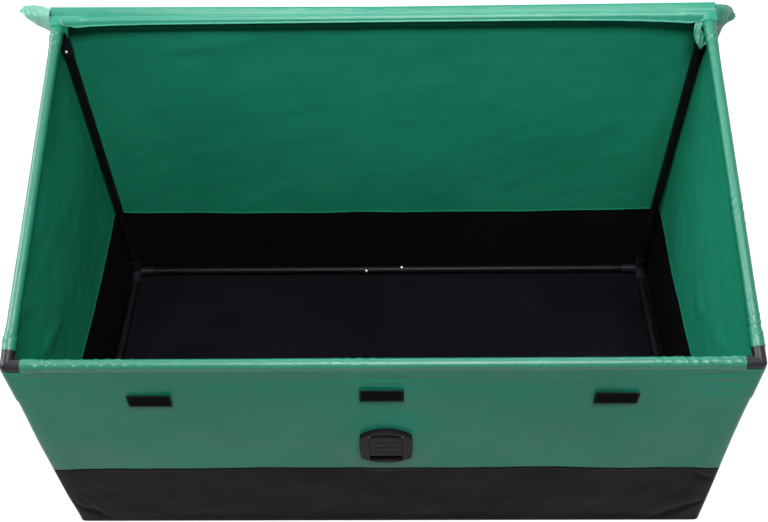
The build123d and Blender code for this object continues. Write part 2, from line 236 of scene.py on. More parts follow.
@dataclass(frozen=True)
class CoatedCloth:
    """Polyester oxford cloth with a polyurethane coating.

    The plain weave breaks the highlight up, and the coating gives a soft shine and small creases.

    Attributes:
        name: The material's name.
        colour: The dyed cloth.
        rubbed: The paler tone where the cloth has been handled.
        roughness: Mean roughness of the coating.
        gloss: The shader's specular level; the weave scatters part of the coating's reflection.
        crumple_mm: Width of the small creases.
        crumple_depth_mm: Depth of the small creases.
        thread_mm: Thread spacing. The real 0.5 mm is too fine to show, so it is drawn coarser.
    """

    name: str
    colour: str
    rubbed: str
    roughness: float
    gloss: float
    crumple_mm: float = 34.0
    crumple_depth_mm: float = 0.9
    thread_mm: float = 1.6

    def build(self) -> bpy.types.Material:
        """Make the material, on the cloth's own flat coordinates in metres."""
        made = Surface(self.name, "UV")
        parts = made.add("ShaderNodeSeparateXYZ", {0: made.place}).outputs
        turns = 2 * math.pi * 1000 / self.thread_mm
        scaled = [
            made.add("ShaderNodeMath", {0: parts[axis], 1: turns}, operation="MULTIPLY").outputs[0]
            for axis in ("X", "Y")
        ]
        threads = [made.add("ShaderNodeMath", {0: s}, operation="SINE").outputs[0] for s in scaled]
        weave = made.add("ShaderNodeMath", dict(enumerate(threads)), operation="MULTIPLY").outputs[0]
        tone = made.remap(made.noise(3.2, Detail=3.0, Roughness=0.6), 0.0, 0.55, 0.35, 0.7)
        dyed = made.mix(tone, self.colour, self.rubbed)
        specks = made.remap(weave, 0.9, 1.06, -1.0)
        woven = made.add("ShaderNodeVectorMath", {0: dyed, 1: specks}, operation="MULTIPLY")
        creases = made.noise(1000 / self.crumple_mm, Detail=2.5, Distortion=0.6)
        crumple = made.bump(creases, self.crumple_depth_mm / 1000, 0.5)
        return made.finish({
            "Base Color": woven.outputs[0],
            "Roughness": made.remap(creases, self.roughness - 0.07, self.roughness + 0.09),
            "Normal": made.bump(weave, self.thread_mm / 16000, 0.5, Normal=crumple),
            "Specular IOR Level": self.gloss,
            "IOR": 1.5,
        })


@dataclass(frozen=True)
class Moulding:
    """Injection-moulded plastic or sprayed paint: an even colour under a fine stipple.

    Attributes:
        name: The material's name.
        colour: The body colour.
        worn: The tone where edges and faces are rubbed.
        roughness: Mean roughness.
        gloss: The shader's specular level.
        grain_mm: Spacing of the stipple, drawn coarser than the real 0.2 mm so that it shows.
        grain_depth_mm: Depth of the stipple.
        metallic: One for bare or plated metal.
        ior: Left alone for a metal.
    """

    name: str
    colour: str
    worn: str
    roughness: float
    gloss: float = 0.5
    grain_mm: float = 0.9
    grain_depth_mm: float = 0.05
    metallic: float = 0.0
    ior: Optional[float] = 1.5

    def build(self) -> bpy.types.Material:
        """Make the material, on object coordinates in metres."""
        made = Surface(self.name)
        grain = made.noise(1000 / self.grain_mm, Detail=1.0)
        wear = made.noise(38.0, Detail=4.0)
        optional = {} if self.ior is None else {"IOR": self.ior}
        return made.finish({
            "Base Color": made.mix(made.remap(wear, 0.0, 0.7, 0.45, 0.8), self.colour, self.worn),
            "Roughness": made.remap(wear, self.roughness - 0.06, self.roughness + 0.1),
            "Normal": made.bump(grain, self.grain_depth_mm / 1000, 0.6),
            "Metallic": self.metallic,
            "Specular IOR Level": self.gloss,
            **optional,
        })


@dataclass(frozen=True)
class PileTape:
    """Nylon hook or loop tape: a matt ground that small hooks or loops stand on.

    Attributes:
        name: The material's name.
        colour: The ground.
        tips: The paler ends of the hooks or loops.
        pitch_mm: Spacing of the hooks or loops.
    """

    name: str
    colour: str
    tips: str
    pitch_mm: float = 1.5

    def build(self) -> bpy.types.Material:
        """Make the material, on object coordinates in metres."""
        made = Surface(self.name)
        cells = {"Vector": made.place, "Scale": 1000 / self.pitch_mm}
        pile = made.add("ShaderNodeTexVoronoi", cells).outputs["Distance"]
        return made.finish({
            "Base Color": made.mix(pile, self.tips, self.colour),
            "Normal": made.bump(pile, self.pitch_mm / 3000, 0.8),
            "Roughness": 0.85,
            "Specular IOR Level": 0.02,
            "Sheen Weight": 0.01,
        })


@dataclass(frozen=True)
class TwistedThread:
    """Polyester sewing thread: fine twisted filaments with a silky shine.

    Attributes:
        name: The material's name.
        colour: The dyed thread.
        twist_mm: Length of one twist, drawn coarser than the real 0.4 mm.
    """

    name: str
    colour: str
    twist_mm: float = 1.0

    def build(self) -> bpy.types.Material:
        """Make the material, on object coordinates in metres."""
        made = Surface(self.name)
        bands = {"Vector": made.place, "Scale": 1000 / self.twist_mm / 20, "Distortion": 0.5}
        twist = made.add("ShaderNodeTexWave", bands, bands_direction="DIAGONAL").outputs["Fac"]
        return made.finish({
            "Base Color": linear(self.colour),
            "Normal": made.bump(twist, 0.0001, 0.4),
            "Roughness": 0.45,
            "Sheen Weight": 0.05,
        })


FINISHES = {
    # The walls' outside: evenly dyed, with a soft shine over small creases.
    "green": CoatedCloth("green_coated_oxford_cloth", "17755D", "238870", 0.3, 0.1),
    # Pulled tight round the rails, with finer creases; on this copy of the wall cloth the darker green is
    # painted shade and the higher gloss painted sheen.
    "green_taut": CoatedCloth(
        "green_coated_oxford_cloth_taut", "105F4B", "17705A", 0.29, 0.44, crumple_mm=20.0
    ),
    # The lid's copy of the same cloth: its higher gloss is painted sheen, which brightens the strip's and
    # the ears' highlights.
    "green_lid": CoatedCloth("green_coated_oxford_cloth_lid", "16705A", "20806A", 0.3, 0.42),
    # A paler, very glossy copy of the same cloth on the left gusset and the corner tab: painted highlight.
    "green_folded": CoatedCloth("green_coated_oxford_cloth_folded", "2F7E67", "4C927C", 0.4, 0.95),
    # The coated back of the same cloth: deeper in colour and duller.
    "green_back": CoatedCloth("green_coated_oxford_cloth_back", "18745A", "218266", 0.33, 0.09),
    # Black cloth: nearly matt, so that it stays deep beside the white surroundings.
    "black": CoatedCloth("black_coated_oxford_cloth", "0C0A0E", "151318", 0.36, 0.02),
    # Nylon from a spark-eroded mould: dull, with a cool grey bloom.
    "connector": Moulding("moulded_nylon", "131217", "222127", 0.32, 0.22),
    # Powder coat on steel tube: satin, with a faint orange peel.
    "tube": Moulding("powder_coated_steel", "09080B", "131215", 0.42, 0.12, grain_mm=1.6),
    # Zinc-plated steel: bright, with fine grain from the plating.
    "plated": Moulding(
        "zinc_plated_steel", "DEDFE0", "BFC1C4", 0.42, grain_mm=0.6, grain_depth_mm=0.02,
        metallic=1.0, ior=None,
    ),
    # Spring steel: darker and smoother, under a film of oil.
    "spring": Moulding(
        "oiled_spring_steel", "77787C", "5E6066", 0.3, grain_mm=0.8, metallic=1.0, ior=None
    ),
    # Moulded polypropylene: black, with a leathery spark texture.
    "handle": Moulding(
        "moulded_polypropylene", "100E12", "1C191D", 0.44, 0.07, grain_mm=1.2,
        grain_depth_mm=0.08, ior=1.49,
    ),
    # Hook and loop tape: the deepest black, with paler tips.
    "hooks": PileTape("nylon_hook_tape", "050506", "0C0C0E"),
    "loops": PileTape("nylon_loop_tape", "070708", "141416", pitch_mm=2.0),
    # Thread: a touch brighter than its cloth, so that the seams show.
    "green_thread": TwistedThread("green_polyester_thread", "127A5B"),
    "black_thread": TwistedThread("black_polyester_thread", "0F0E11"),
}
Palette = dict[str, bpy.types.Material]


# Shapes of cloth.

# How far a thread's middle lies off the cloth's face.
THREAD_RISE = 0.00012


def ripples(u: Array, v: Array, length: float, seed: int, waves: int = 16) -> Array:
    """Add up plane waves into soft, random undulations.

    Args:
        u: One flat coordinate of each point, in metres.
        v: The other flat coordinate.
        length: Mean wavelength.
        seed: Fixed seed of the waves' directions and phases.
        waves: How many waves are added.

    Returns:
        A height at each point, mostly from -1 to 1.
    """
    random = np.random.default_rng(seed)
    total = np.zeros_like(u)
    for _ in range(waves):
        turn, phase = random.uniform(0, 2 * math.pi, 2)
        number = 2 * math.pi / (length * random.uniform(0.7, 1.6))
        total += np.cos(number * (u * math.cos(turn) + v * math.sin(turn)) + phase)
    return total / math.sqrt(2 * waves)


def smooth(x: Array, low: float, high: float) -> Array:
    """Rise smoothly from 0 at low to 1 at high."""
    t = np.clip((x - low) / (high - low), 0, 1)
    return t * t * (3 - 2 * t)


def bow(share: Array, start: Array, bend: Array, finish: Array) -> Array:
    """Follow a curve from its start to its finish, drawn towards a bend between them."""
    return (1 - share) ** 2 * start + 2 * share * (1 - share) * bend + share**2 * finish


def walked(line: Array) -> Array:
    """How far along a line each of its points lies."""
    steps = np.linalg.norm(np.diff(line, axis=0), axis=1)
    return np.concatenate([[0], np.cumsum(steps)])


def quads(rows: int, columns: int) -> tuple[Array, Array]:
    """The numbers of a grid's points, and its faces."""
    number = np.arange(rows * columns).reshape(rows, columns)
    corners = number[:-1, :-1], number[:-1, 1:], number[1:, 1:], number[1:, :-1]
    return number, np.stack(corners, axis=2).reshape(-1, 4)


@dataclass(frozen=True)
class Crease:
    """A soft fold along a line on a flat cloth.

    Attributes:
        start: Where it starts, in the cloth's flat coordinates, metres.
        end: Where it ends.
        width: Half its width.
        depth: How far it stands in, or out where it is negative.
    """

    start: tuple[float, float]
    end: tuple[float, float]
    width: float
    depth: float

    def press(self, u: Array, v: Array) -> Array:
        """Work out how deep the fold is at each point.

        Args:
            u: One flat coordinate.
            v: The other flat coordinate.

        Returns:
            The depth at each point.
        """
        line = np.subtract(self.end, self.start)
        from_u, from_v = u - self.start[0], v - self.start[1]
        reach = np.clip((from_u * line[0] + from_v * line[1]) / (line @ line), 0, 1)
        gap = np.hypot(from_u - reach * line[0], from_v - reach * line[1])
        spindle = 0.35 + 0.65 * np.sin(math.pi * reach)
        return self.depth * spindle * np.exp(-((gap / (self.width * spindle)) ** 2))


@dataclass
class Cloth:
    """One sheet of cloth: a grid of points on its middle surface, given a thickness.

    Attributes:
        name: The piece's name.
        points: The grid, rows by columns by three. Its normal points out of the box.
        u: Each point's first coordinate on the uncut cloth, in metres.
        v: The second coordinate.
        thickness: The cloth's thickness.
        turned: True where the grid's own normal points the wrong way.
    """

    name: str
    points: Array
    u: Array
    v: Array
    thickness: float = 0.001
    turned: bool = False

    @property
    def flat(self) -> Array:
        """Each point's place on the uncut cloth."""
        return np.stack(np.broadcast_arrays(self.u, self.v), axis=2)

    def normals(self) -> Array:
        """Unit normals of the middle surface at each grid point."""
        across = np.gradient(self.points, axis=1)
        along = np.gradient(self.points, axis=0)
        normal = np.cross(across, along)
        normal /= np.maximum(np.linalg.norm(normal, axis=2, keepdims=True), 1e-12)
        return -normal if self.turned else normal

    def push(self, amount: Array) -> None:
        """Move every point along its normal, by its own distance in metres."""
        self.points = self.points + self.normals() * amount[..., None]

    def skin(self, inside: bool = False) -> Array:
        """Where stitches lie on the outer or the inner face, at each grid point."""
        face = -1 if inside else 1
        return self.points + face * self.normals() * (self.thickness / 2 + THREAD_RISE)

    def run(self, axis: int, at: float, margin: float = 0.0, inside: bool = False) -> Array:
        """Follow a straight line of the uncut cloth over its shaped surface.

        Args:
            axis: 0 for a line along the rows' direction, 1 for one along the columns'.
            at: The other flat coordinate's value on that line.
            margin: How much of the line is left out at each end.
            inside: True for a line on the inner face.

        Returns:
            Points on the cloth's face.
        """
        skin, flat = self.skin(inside), self.flat
        if axis == 1:
            skin, flat = skin.swapaxes(0, 1), flat.swapaxes(0, 1)[..., ::-1]
        level = flat[:, flat.shape[1] // 2, 1]
        if level[0] > level[-1]:
            skin, flat, level = skin[::-1], flat[::-1], level[::-1]
        row = int(np.clip(np.searchsorted(level, at) - 1, 0, len(level) - 2))
        share = (at - level[row]) / (level[row + 1] - level[row])
        line = skin[row] * (1 - share) + skin[row + 1] * share
        place_on = flat[row, :, 0]
        keep = (place_on > place_on.min() + margin) & (place_on < place_on.max() - margin)
        return line[keep]

    def build(
        self, outside: bpy.types.Material, inside: Optional[bpy.types.Material] = None
    ) -> bpy.types.Object:
        """Make the closed mesh, with its flat coordinates as its UV map.

        Args:
            outside: The outer face's material.
            inside: The inner face's, where it differs.

        Returns:
            The new object, at the origin.
        """
        rows, columns = self.points.shape[:2]
        count = rows * columns
        offset = self.normals() * self.thickness / 2
        layers = np.concatenate([self.points + offset, self.points - offset]).reshape(-1, 3)
        number, outer = quads(rows, columns)
        ring = np.concatenate([number[0, :-1], number[:-1, -1], number[-1, :0:-1], number[:0:-1, 0]])
        following = np.roll(ring, -1)
        rim = np.stack([following, ring, ring + count, following + count], axis=1)
        faces = np.concatenate([outer, outer[:, ::-1] + count, rim])
        if self.turned:
            faces = faces[:, ::-1]
        mesh = bpy.data.meshes.new(self.name)
        mesh.from_pydata(layers.tolist(), [], faces.tolist())
        mesh.materials.append(outside)
        mesh.materials.append(inside or outside)
        slots = np.zeros(len(faces), np.int32)
        slots[len(outer) : 2 * len(outer)] = 1
        mesh.polygons.foreach_set("material_index", slots)
        mesh.polygons.foreach_set("use_smooth", np.ones(len(faces), bool))
        corner = np.zeros(len(mesh.loops), np.int32)
        mesh.loops.foreach_get("vertex_index", corner)
        flat = np.concatenate([self.flat, self.flat]).reshape(-1, 2)[corner]
        mesh.uv_layers.new(name="flat").data.foreach_set("uv", flat.astype(np.float32).ravel())
        ends = np.zeros(2 * len(mesh.edges), np.int32)
        mesh.edges.foreach_get("vertices", ends)
        on_rim = np.isin(np.arange(2 * count) % count, ring)
        sharp = on_rim[ends.reshape(-1, 2)].all(axis=1)
        mesh.attributes.new("sharp_edge", "BOOLEAN", "EDGE").data.foreach_set("value", sharp)
        return place(self.name, mesh)


def place(name: str, data: bpy.types.ID) -> bpy.types.Object:
    """Link a mesh, a lamp or a camera into the scene as an object at the origin."""
    thing = bpy.data.objects.new(name, data)
    bpy.context.scene.collection.objects.link(thing)
    return thing


def grid(
    rows: Iterable[float], columns: Iterable[float], point: Callable[[Array, Array], list[Array]]
) -> tuple[Array, Array, Array]:
    """Work a surface out on a grid.

    Args:
        rows: The values of the first coordinate.
        columns: The values of the second coordinate.
        point: Gives x, y and z for grids of both coordinates.

    Returns:
        The points, and the grids of both coordinates.
    """
    v, u = np.meshgrid(np.asarray(list(rows)), np.asarray(list(columns)), indexing="ij")
    return np.stack(point(u, v), axis=2), u, v


def declare(
    sheet: bpy.types.Object, flat: tuple[float, float], held: Held, rests: list[str],
    body: Optional[str] = "frame", node: Optional[str] = None, slot: str = "green_fabric",
    **more: Any,
) -> None:
    """Args:
        sheet: The piece.
        flat: Its width and length before it was shaped.
        held: How it is held; not used.
        rests: The pieces that hold it; not used.
        body: The body that it is attached to, or None to leave it unattached.
        node: The frame's node that it stands for, where there is one.
        slot: Its material slot; not used.
        more: Its measured area, or the pieces that belong to it; not used.
    """
    if body:
        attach(sheet, body)
    if node:
        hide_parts(node)
    log.info("%s: cloth %.3f x %.3f m", sheet.name, *flat)


def measured_area(cloth: Cloth) -> float:
    """The area of a cloth's middle surface, in square metres."""
    across = np.diff(cloth.points, axis=1)[:-1]
    along = np.diff(cloth.points, axis=0)[:, :-1]
    return float(np.linalg.norm(np.cross(across, along), axis=2).sum())


# Where each tape patch's middle lies, along x and above the middle height of the row.
TAPES = (("left", -0.411, -0.0068), ("middle", 0.0, 0.0067), ("right", 0.411, -0.0028))

# Folds pressed into the walls and their bands, along the wall and above the ground.
WALL_CREASES = {
    "front": [
        Crease((-0.06, 0.531), (0.16, 0.527), 0.006, 0.0014),
        Crease((-0.03, 0.513), (0.21, 0.508), 0.006, 0.0012),
        Crease((-0.05, 0.498), (0.04, 0.496), 0.005, 0.001),
        Crease((0.53, 0.538), (0.64, 0.546), 0.006, 0.0018),
        Crease((0.54, 0.520), (0.645, 0.511), 0.007, 0.0018),
        Crease((0.56, 0.497), (0.645, 0.474), 0.007, 0.0015),
        Crease((-0.525, 0.494), (-0.495, 0.476), 0.005, 0.0012),
        Crease((-0.64, 0.53), (-0.56, 0.545), 0.006, 0.0014),
    ],
    "rear": [
        Crease((0.45, 0.70), (0.2, 0.74), 0.02, 0.002),
        Crease((-0.30, 0.35), (-0.28, 0.30), 0.02, 0.0016),
    ],
    "left": [
        Crease((0.22, 0.42), (0.1, 0.38), 0.02, 0.003),
        Crease((0.25, 0.60), (0.15, 0.50), 0.018, 0.002),
    ],
    "right": [
        Crease((-0.08, 0.36), (0.0, 0.33), 0.03, 0.003),
        Crease((-0.2, 0.42), (-0.14, 0.36), 0.02, 0.003),
    ],
}
BAND_CREASES = {
    "front": [
        Crease((-0.64, 0.075), (-0.585, 0.02), 0.008, 0.003),
        Crease((-0.62, 0.10), (-0.60, 0.03), 0.006, 0.002),
        Crease((0.565, 0.03), (0.64, 0.085), 0.009, 0.0034),
        Crease((0.55, 0.01), (0.61, 0.05), 0.008, 0.0026),
        Crease((0.60, 0.205), (0.645, 0.17), 0.007, 0.0022),
    ],
    "rear": [Crease((0.42, 0.12), (0.36, 0.07), 0.012, 0.002)],
    "left": [],
    "right": [],
}

# Folds pressed into the two ears of the lid, across the skirt and down it.
EAR_CREASES = {
    Side.LEFT: (
        Crease((0.02, 0.012), (0.12, 0.02), 0.006, -0.0016),
        Crease((0.0, 0.03), (0.11, 0.055), 0.009, 0.0022),
    ),
    Side.RIGHT: (
        Crease((0.0, 0.02), (0.1, 0.01), 0.007, 0.003),
        Crease((0.0, 0.03), (0.115, 0.04), 0.008, -0.0032),
        Crease((0.0, 0.04), (0.1, 0.085), 0.008, 0.0036),
        Crease((0.02, 0.06), (0.09, 0.14), 0.009, -0.003),
        Crease((0.01, 0.08), (0.05, 0.17), 0.008, 0.003),
    ),
}


@dataclass(frozen=True)
class GussetShape:
    """Where a gusset runs, as (x to its side, y, z) in metres.

    Attributes:
        bend: Where its sewn edge bends over the rear rail's corner.
        foot: Where its sewn edge ends, outside the side sleeve.
        tip: Where its free corner points.
        sag: How far its free edge hangs.
    """

    bend: tuple[float, float, float]
    foot: tuple[float, float, float]
    tip: tuple[float, float, float]
    sag: float = 0.01


GUSSETS = {
    Side.LEFT: GussetShape((0.6534, 0.317, 0.806), (0.6534, 0.327, 0.762), (0.741, 0.402, 0.7605)),
    Side.RIGHT: GussetShape((0.6534, 0.318, 0.803), (0.6534, 0.328, 0.760), (0.7235, 0.405, 0.726)),
}


# Repeated shapes, grown by Geometry Nodes.


@dataclass
class Growth:
    """A Geometry Nodes tree, and what its named inputs are called by the modifier.

    Attributes:
        name: The tree's name.
        inputs: Each input's label, with its socket type and its value.
    """

    name: str
    inputs: dict[str, tuple[str, Any]]
    tree: bpy.types.NodeTree = field(init=False)
    given: bpy.types.Node = field(init=False)
    identifiers: dict[str, str] = field(init=False, default_factory=dict)

    def __post_init__(self) -> None:
        """Make the tree with its named inputs."""
        self.tree = bpy.data.node_groups.new(self.name, "GeometryNodeTree")
        sides = self.tree.interface
        sides.new_socket("Geometry", in_out="INPUT", socket_type="NodeSocketGeometry")
        for label, (kind, _) in self.inputs.items():
            made = sides.new_socket(label, in_out="INPUT", socket_type=kind)
            self.identifiers[label] = made.identifier
        sides.new_socket("Geometry", in_out="OUTPUT", socket_type="NodeSocketGeometry")
        self.given = self.tree.nodes.new("NodeGroupInput")

    def add(self, kind: str, inputs: Optional[dict[Any, Any]] = None, **settings: Any) -> bpy.types.Node:
        """Add a node to the tree."""
        return add_node(self.tree, kind, inputs, **settings)

    def finish(self, instances: bpy.types.NodeSocket) -> None:
        """End the tree: real geometry, smooth, in its material."""
        real = self.add("GeometryNodeRealizeInstances", {0: instances})
        round_off = self.add("GeometryNodeSetShadeSmooth", {"Geometry": real.outputs[0]})
        finish = {"Geometry": round_off.outputs[0], "Material": self.given.outputs["Material"]}
        dressed = self.add("GeometryNodeSetMaterial", finish)
        self.add("NodeGroupOutput", {0: dressed.outputs[0]})

    def grow(self, name: str, base: bpy.types.Mesh) -> bpy.types.Object:
        """Run the tree on a mesh and keep the result as a plain mesh.

        Args:
            name: The new piece's name.
            base: The mesh that the shapes grow on.

        Returns:
            The new piece, at the origin.
        """
        holder = place(f"{name}_base", base)
        modifier = holder.modifiers.new("grow", "NODES")
        modifier.node_group = self.tree
        for label, (_, value) in self.inputs.items():
            modifier[self.identifiers[label]] = value
        graph = bpy.context.evaluated_depsgraph_get()
        mesh = bpy.data.meshes.new_from_object(holder.evaluated_get(graph), depsgraph=graph)
        holder.modifiers.remove(modifier)
        bpy.data.objects.remove(holder)
        return place(name, mesh)


@dataclass
class Stitches:
    """Lock stitches along every seam, one piece for each body and thread.

    Attributes:
        pitch: Distance from one stitch to the next.
        length: Length of one stitch.
        radius: Thickness of the thread, drawn thicker than the real 0.15 mm so that it shows.
        lines: The seams that were added, by body and thread.
    """

    pitch: float = 0.0042
    length: float = 0.0031
    radius: float = 0.0003
    lines: dict[tuple[str, Thread], list[Array]] = field(default_factory=dict)

    def add(self, body: str, thread: Thread, line: Array) -> None:
        """Add a line of stitches.

        Args:
            body: The body that the line rides on.
            thread: Which thread.
            line: Points along the line, on the cloth.
        """
        self.lines.setdefault((body, thread), []).append(line)

    def growth(self, material: bpy.types.Material) -> Growth:
        """Make the tree that sets stitches along curves."""
        growth = Growth("stitches_along_seams", {
            "Pitch": ("NodeSocketFloat", self.pitch),
            "Stitch Length": ("NodeSocketFloat", self.length),
            "Thread Radius": ("NodeSocketFloat", self.radius),
            "Material": ("NodeSocketMaterial", material),
        })
        given = growth.given.outputs
        curve = growth.add("GeometryNodeMeshToCurve", {"Mesh": given["Geometry"]})
        along = {"Curve": curve.outputs[0], "Length": given["Pitch"]}
        spots = growth.add("GeometryNodeCurveToPoints", along, mode="LENGTH")
        bead = growth.add("GeometryNodeMeshUVSphere", {"Segments": 5, "Rings": 4, "Radius": 1.0})
        half = growth.add("ShaderNodeMath", {0: given["Stitch Length"], 1: 0.5}, operation="MULTIPLY")
        size = growth.add("ShaderNodeCombineXYZ", {
            "X": given["Thread Radius"], "Y": given["Thread Radius"], "Z": half.outputs[0]})
        stretched = {"Geometry": bead.outputs["Mesh"], "Scale": size.outputs[0]}
        stitch = growth.add("GeometryNodeTransform", stretched)
        sewn = growth.add("GeometryNodeInstanceOnPoints", {
            "Points": spots.outputs["Points"], "Instance": stitch.outputs[0],
            "Rotation": spots.outputs["Rotation"]})
        growth.finish(sewn.outputs[0])
        return growth

    def build(self, palette: Palette) -> None:
        """Sew every line that was added."""
        for (body, thread), lines in self.lines.items():
            points = np.concatenate(lines)
            edges, first = [], 0
            for line in lines:
                edges += [(first + i, first + i + 1) for i in range(len(line) - 1)]
                first += len(line)
            base = bpy.data.meshes.new("seam_lines")
            base.from_pydata(points.tolist(), edges, [])
            name = f"{body}_{thread.name.lower()}_stitches"
            piece = self.growth(palette[thread.value]).grow(name, base)
            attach(piece, body)
            log.info("%s: %d lines, %d faces", name, len(lines), len(piece.data.polygons))


@dataclass
class FasteningTape:
    """One patch of hook or loop tape, with its hooks or loops standing on it.

    Attributes:
        name: The tape's name.
        pile: Hooks or loops.
        point: Gives the tape's place for its own flat coordinates.
        width: The tape's width.
        height: The tape's height.
        thickness: The tape's thickness.
        spacing: Distance between hooks, drawn wider than the real 1.2 mm.
        tall: Height of a hook.
        wire: Radius of a hook's wire.
        edge: Width of the bare edge round the hooks.
        seam: How far the sewing lies inside the edge.
    """

    name: str
    pile: Pile
    point: Callable[[Array, Array], list[Array]]
    width: float = 0.078
    height: float = 0.034
    thickness: float = 0.0007
    spacing: float = 0.0019
    tall: float = 0.0009
    wire: float = 0.00013
    edge: float = 0.0032
    seam: float = 0.0025

    def growth(self, material: bpy.types.Material) -> Growth:
        """Make the tree that stands hooks or loops on a surface's points."""
        sweep = 215.0 if self.pile is Pile.HOOKS else 180.0
        growth = Growth(f"{self.pile.value}_on_tape", {
            "Bend Radius": ("NodeSocketFloat", self.tall / 2),
            "Wire Radius": ("NodeSocketFloat", self.wire),
            "Seed": ("NodeSocketInt", 17),
            "Material": ("NodeSocketMaterial", material),
        })
        given = growth.given.outputs
        arc = growth.add("GeometryNodeCurveArc", {
            "Resolution": 6, "Radius": given["Bend Radius"],
            "Start Angle": math.radians(180.0 - sweep), "Sweep Angle": math.radians(sweep)})
        round_wire = {"Resolution": 3, "Radius": given["Wire Radius"]}
        ring = growth.add("GeometryNodeCurvePrimitiveCircle", round_wire)
        wire = growth.add("GeometryNodeCurveToMesh", {
            "Curve": arc.outputs["Curve"], "Profile Curve": ring.outputs["Curve"], "Fill Caps": True})
        upright = growth.add("GeometryNodeTransform", {
            "Geometry": wire.outputs["Mesh"], "Rotation": (math.radians(90), 0, 0),
            "Translation": (0, 0, self.tall / 4)})
        facing = growth.add("FunctionNodeAlignRotationToVector", {
            "Vector": growth.add("GeometryNodeInputNormal").outputs["Normal"]}, axis="Z")
        spin = growth.add("FunctionNodeRandomValue", {
            "Min": (0, 0, -0.7), "Max": (0, 0, 0.7), "Seed": given["Seed"]}, data_type="FLOAT_VECTOR")
        turn = growth.add("FunctionNodeEulerToRotation", {0: spin.outputs[0]})
        turned = growth.add("FunctionNodeRotateRotation", {
            "Rotation": facing.outputs[0], "Rotate By": turn.outputs[0]}, rotation_space="LOCAL")
        stood = growth.add("GeometryNodeInstanceOnPoints", {
            "Points": given["Geometry"], "Instance": upright.outputs[0],
            "Rotation": turned.outputs[0]})
        growth.finish(stood.outputs[0])
        return growth

    def build(self, body: str, node: str, slot: str, rests: str, palette: Palette,
              stitches: Stitches) -> None:
        """Make the tape, its pile and the stitches round it.

        Args:
            body: The body that the tape rides on.
            node: The frame's node that it stands for.
            slot: Its material slot.
            rests: What it is sewn to.
            palette: The built materials.
            stitches: Where the sewing is added.
        """
        half_w, half_h = self.width / 2, self.height / 2
        points, u, v = grid(np.linspace(-half_h, half_h, 18), np.linspace(-half_w, half_w, 40), self.point)
        cloth = Cloth(self.name, points, u, v, self.thickness)
        rim = np.minimum(half_w - np.abs(u), half_h - np.abs(v))
        furrow, furrow_width = 0.00025, 0.0012
        cloth.push(-furrow * np.exp(-((rim - self.seam) / furrow_width) ** 2))
        material = palette[self.pile.value]
        tape = cloth.build(material)
        inset = self.edge + self.spacing
        rows, columns = (
            np.linspace(inset - size / 2, size / 2 - inset, int((size - 2 * inset) / self.spacing))
            for size in (self.height, self.width)
        )
        spots, spots_u, spots_v = grid(rows, columns, self.point)
        skin = spots + Cloth("bed", spots, spots_u, spots_v).normals() * self.thickness / 2
        base = bpy.data.meshes.new("pile_places")
        base.from_pydata(skin.reshape(-1, 3).tolist(), [], quads(*skin.shape[:2])[1].tolist())
        pile = self.growth(material).grow(f"{self.name}_{self.pile.value}", base)
        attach(pile, body)
        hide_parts(node)
        declare(tape, (self.width, self.height), Held.STRETCHED, [rests], body, node, slot,
                with_pieces=[pile])
        for axis, half in enumerate((half_h, half_w)):
            for at in (self.seam - half, half - self.seam):
                stitches.add(body, Thread.BLACK, cloth.run(axis, at, 0.002))
        log.info("%s: %d %s", self.name, len(rows) * len(columns), self.pile.value)


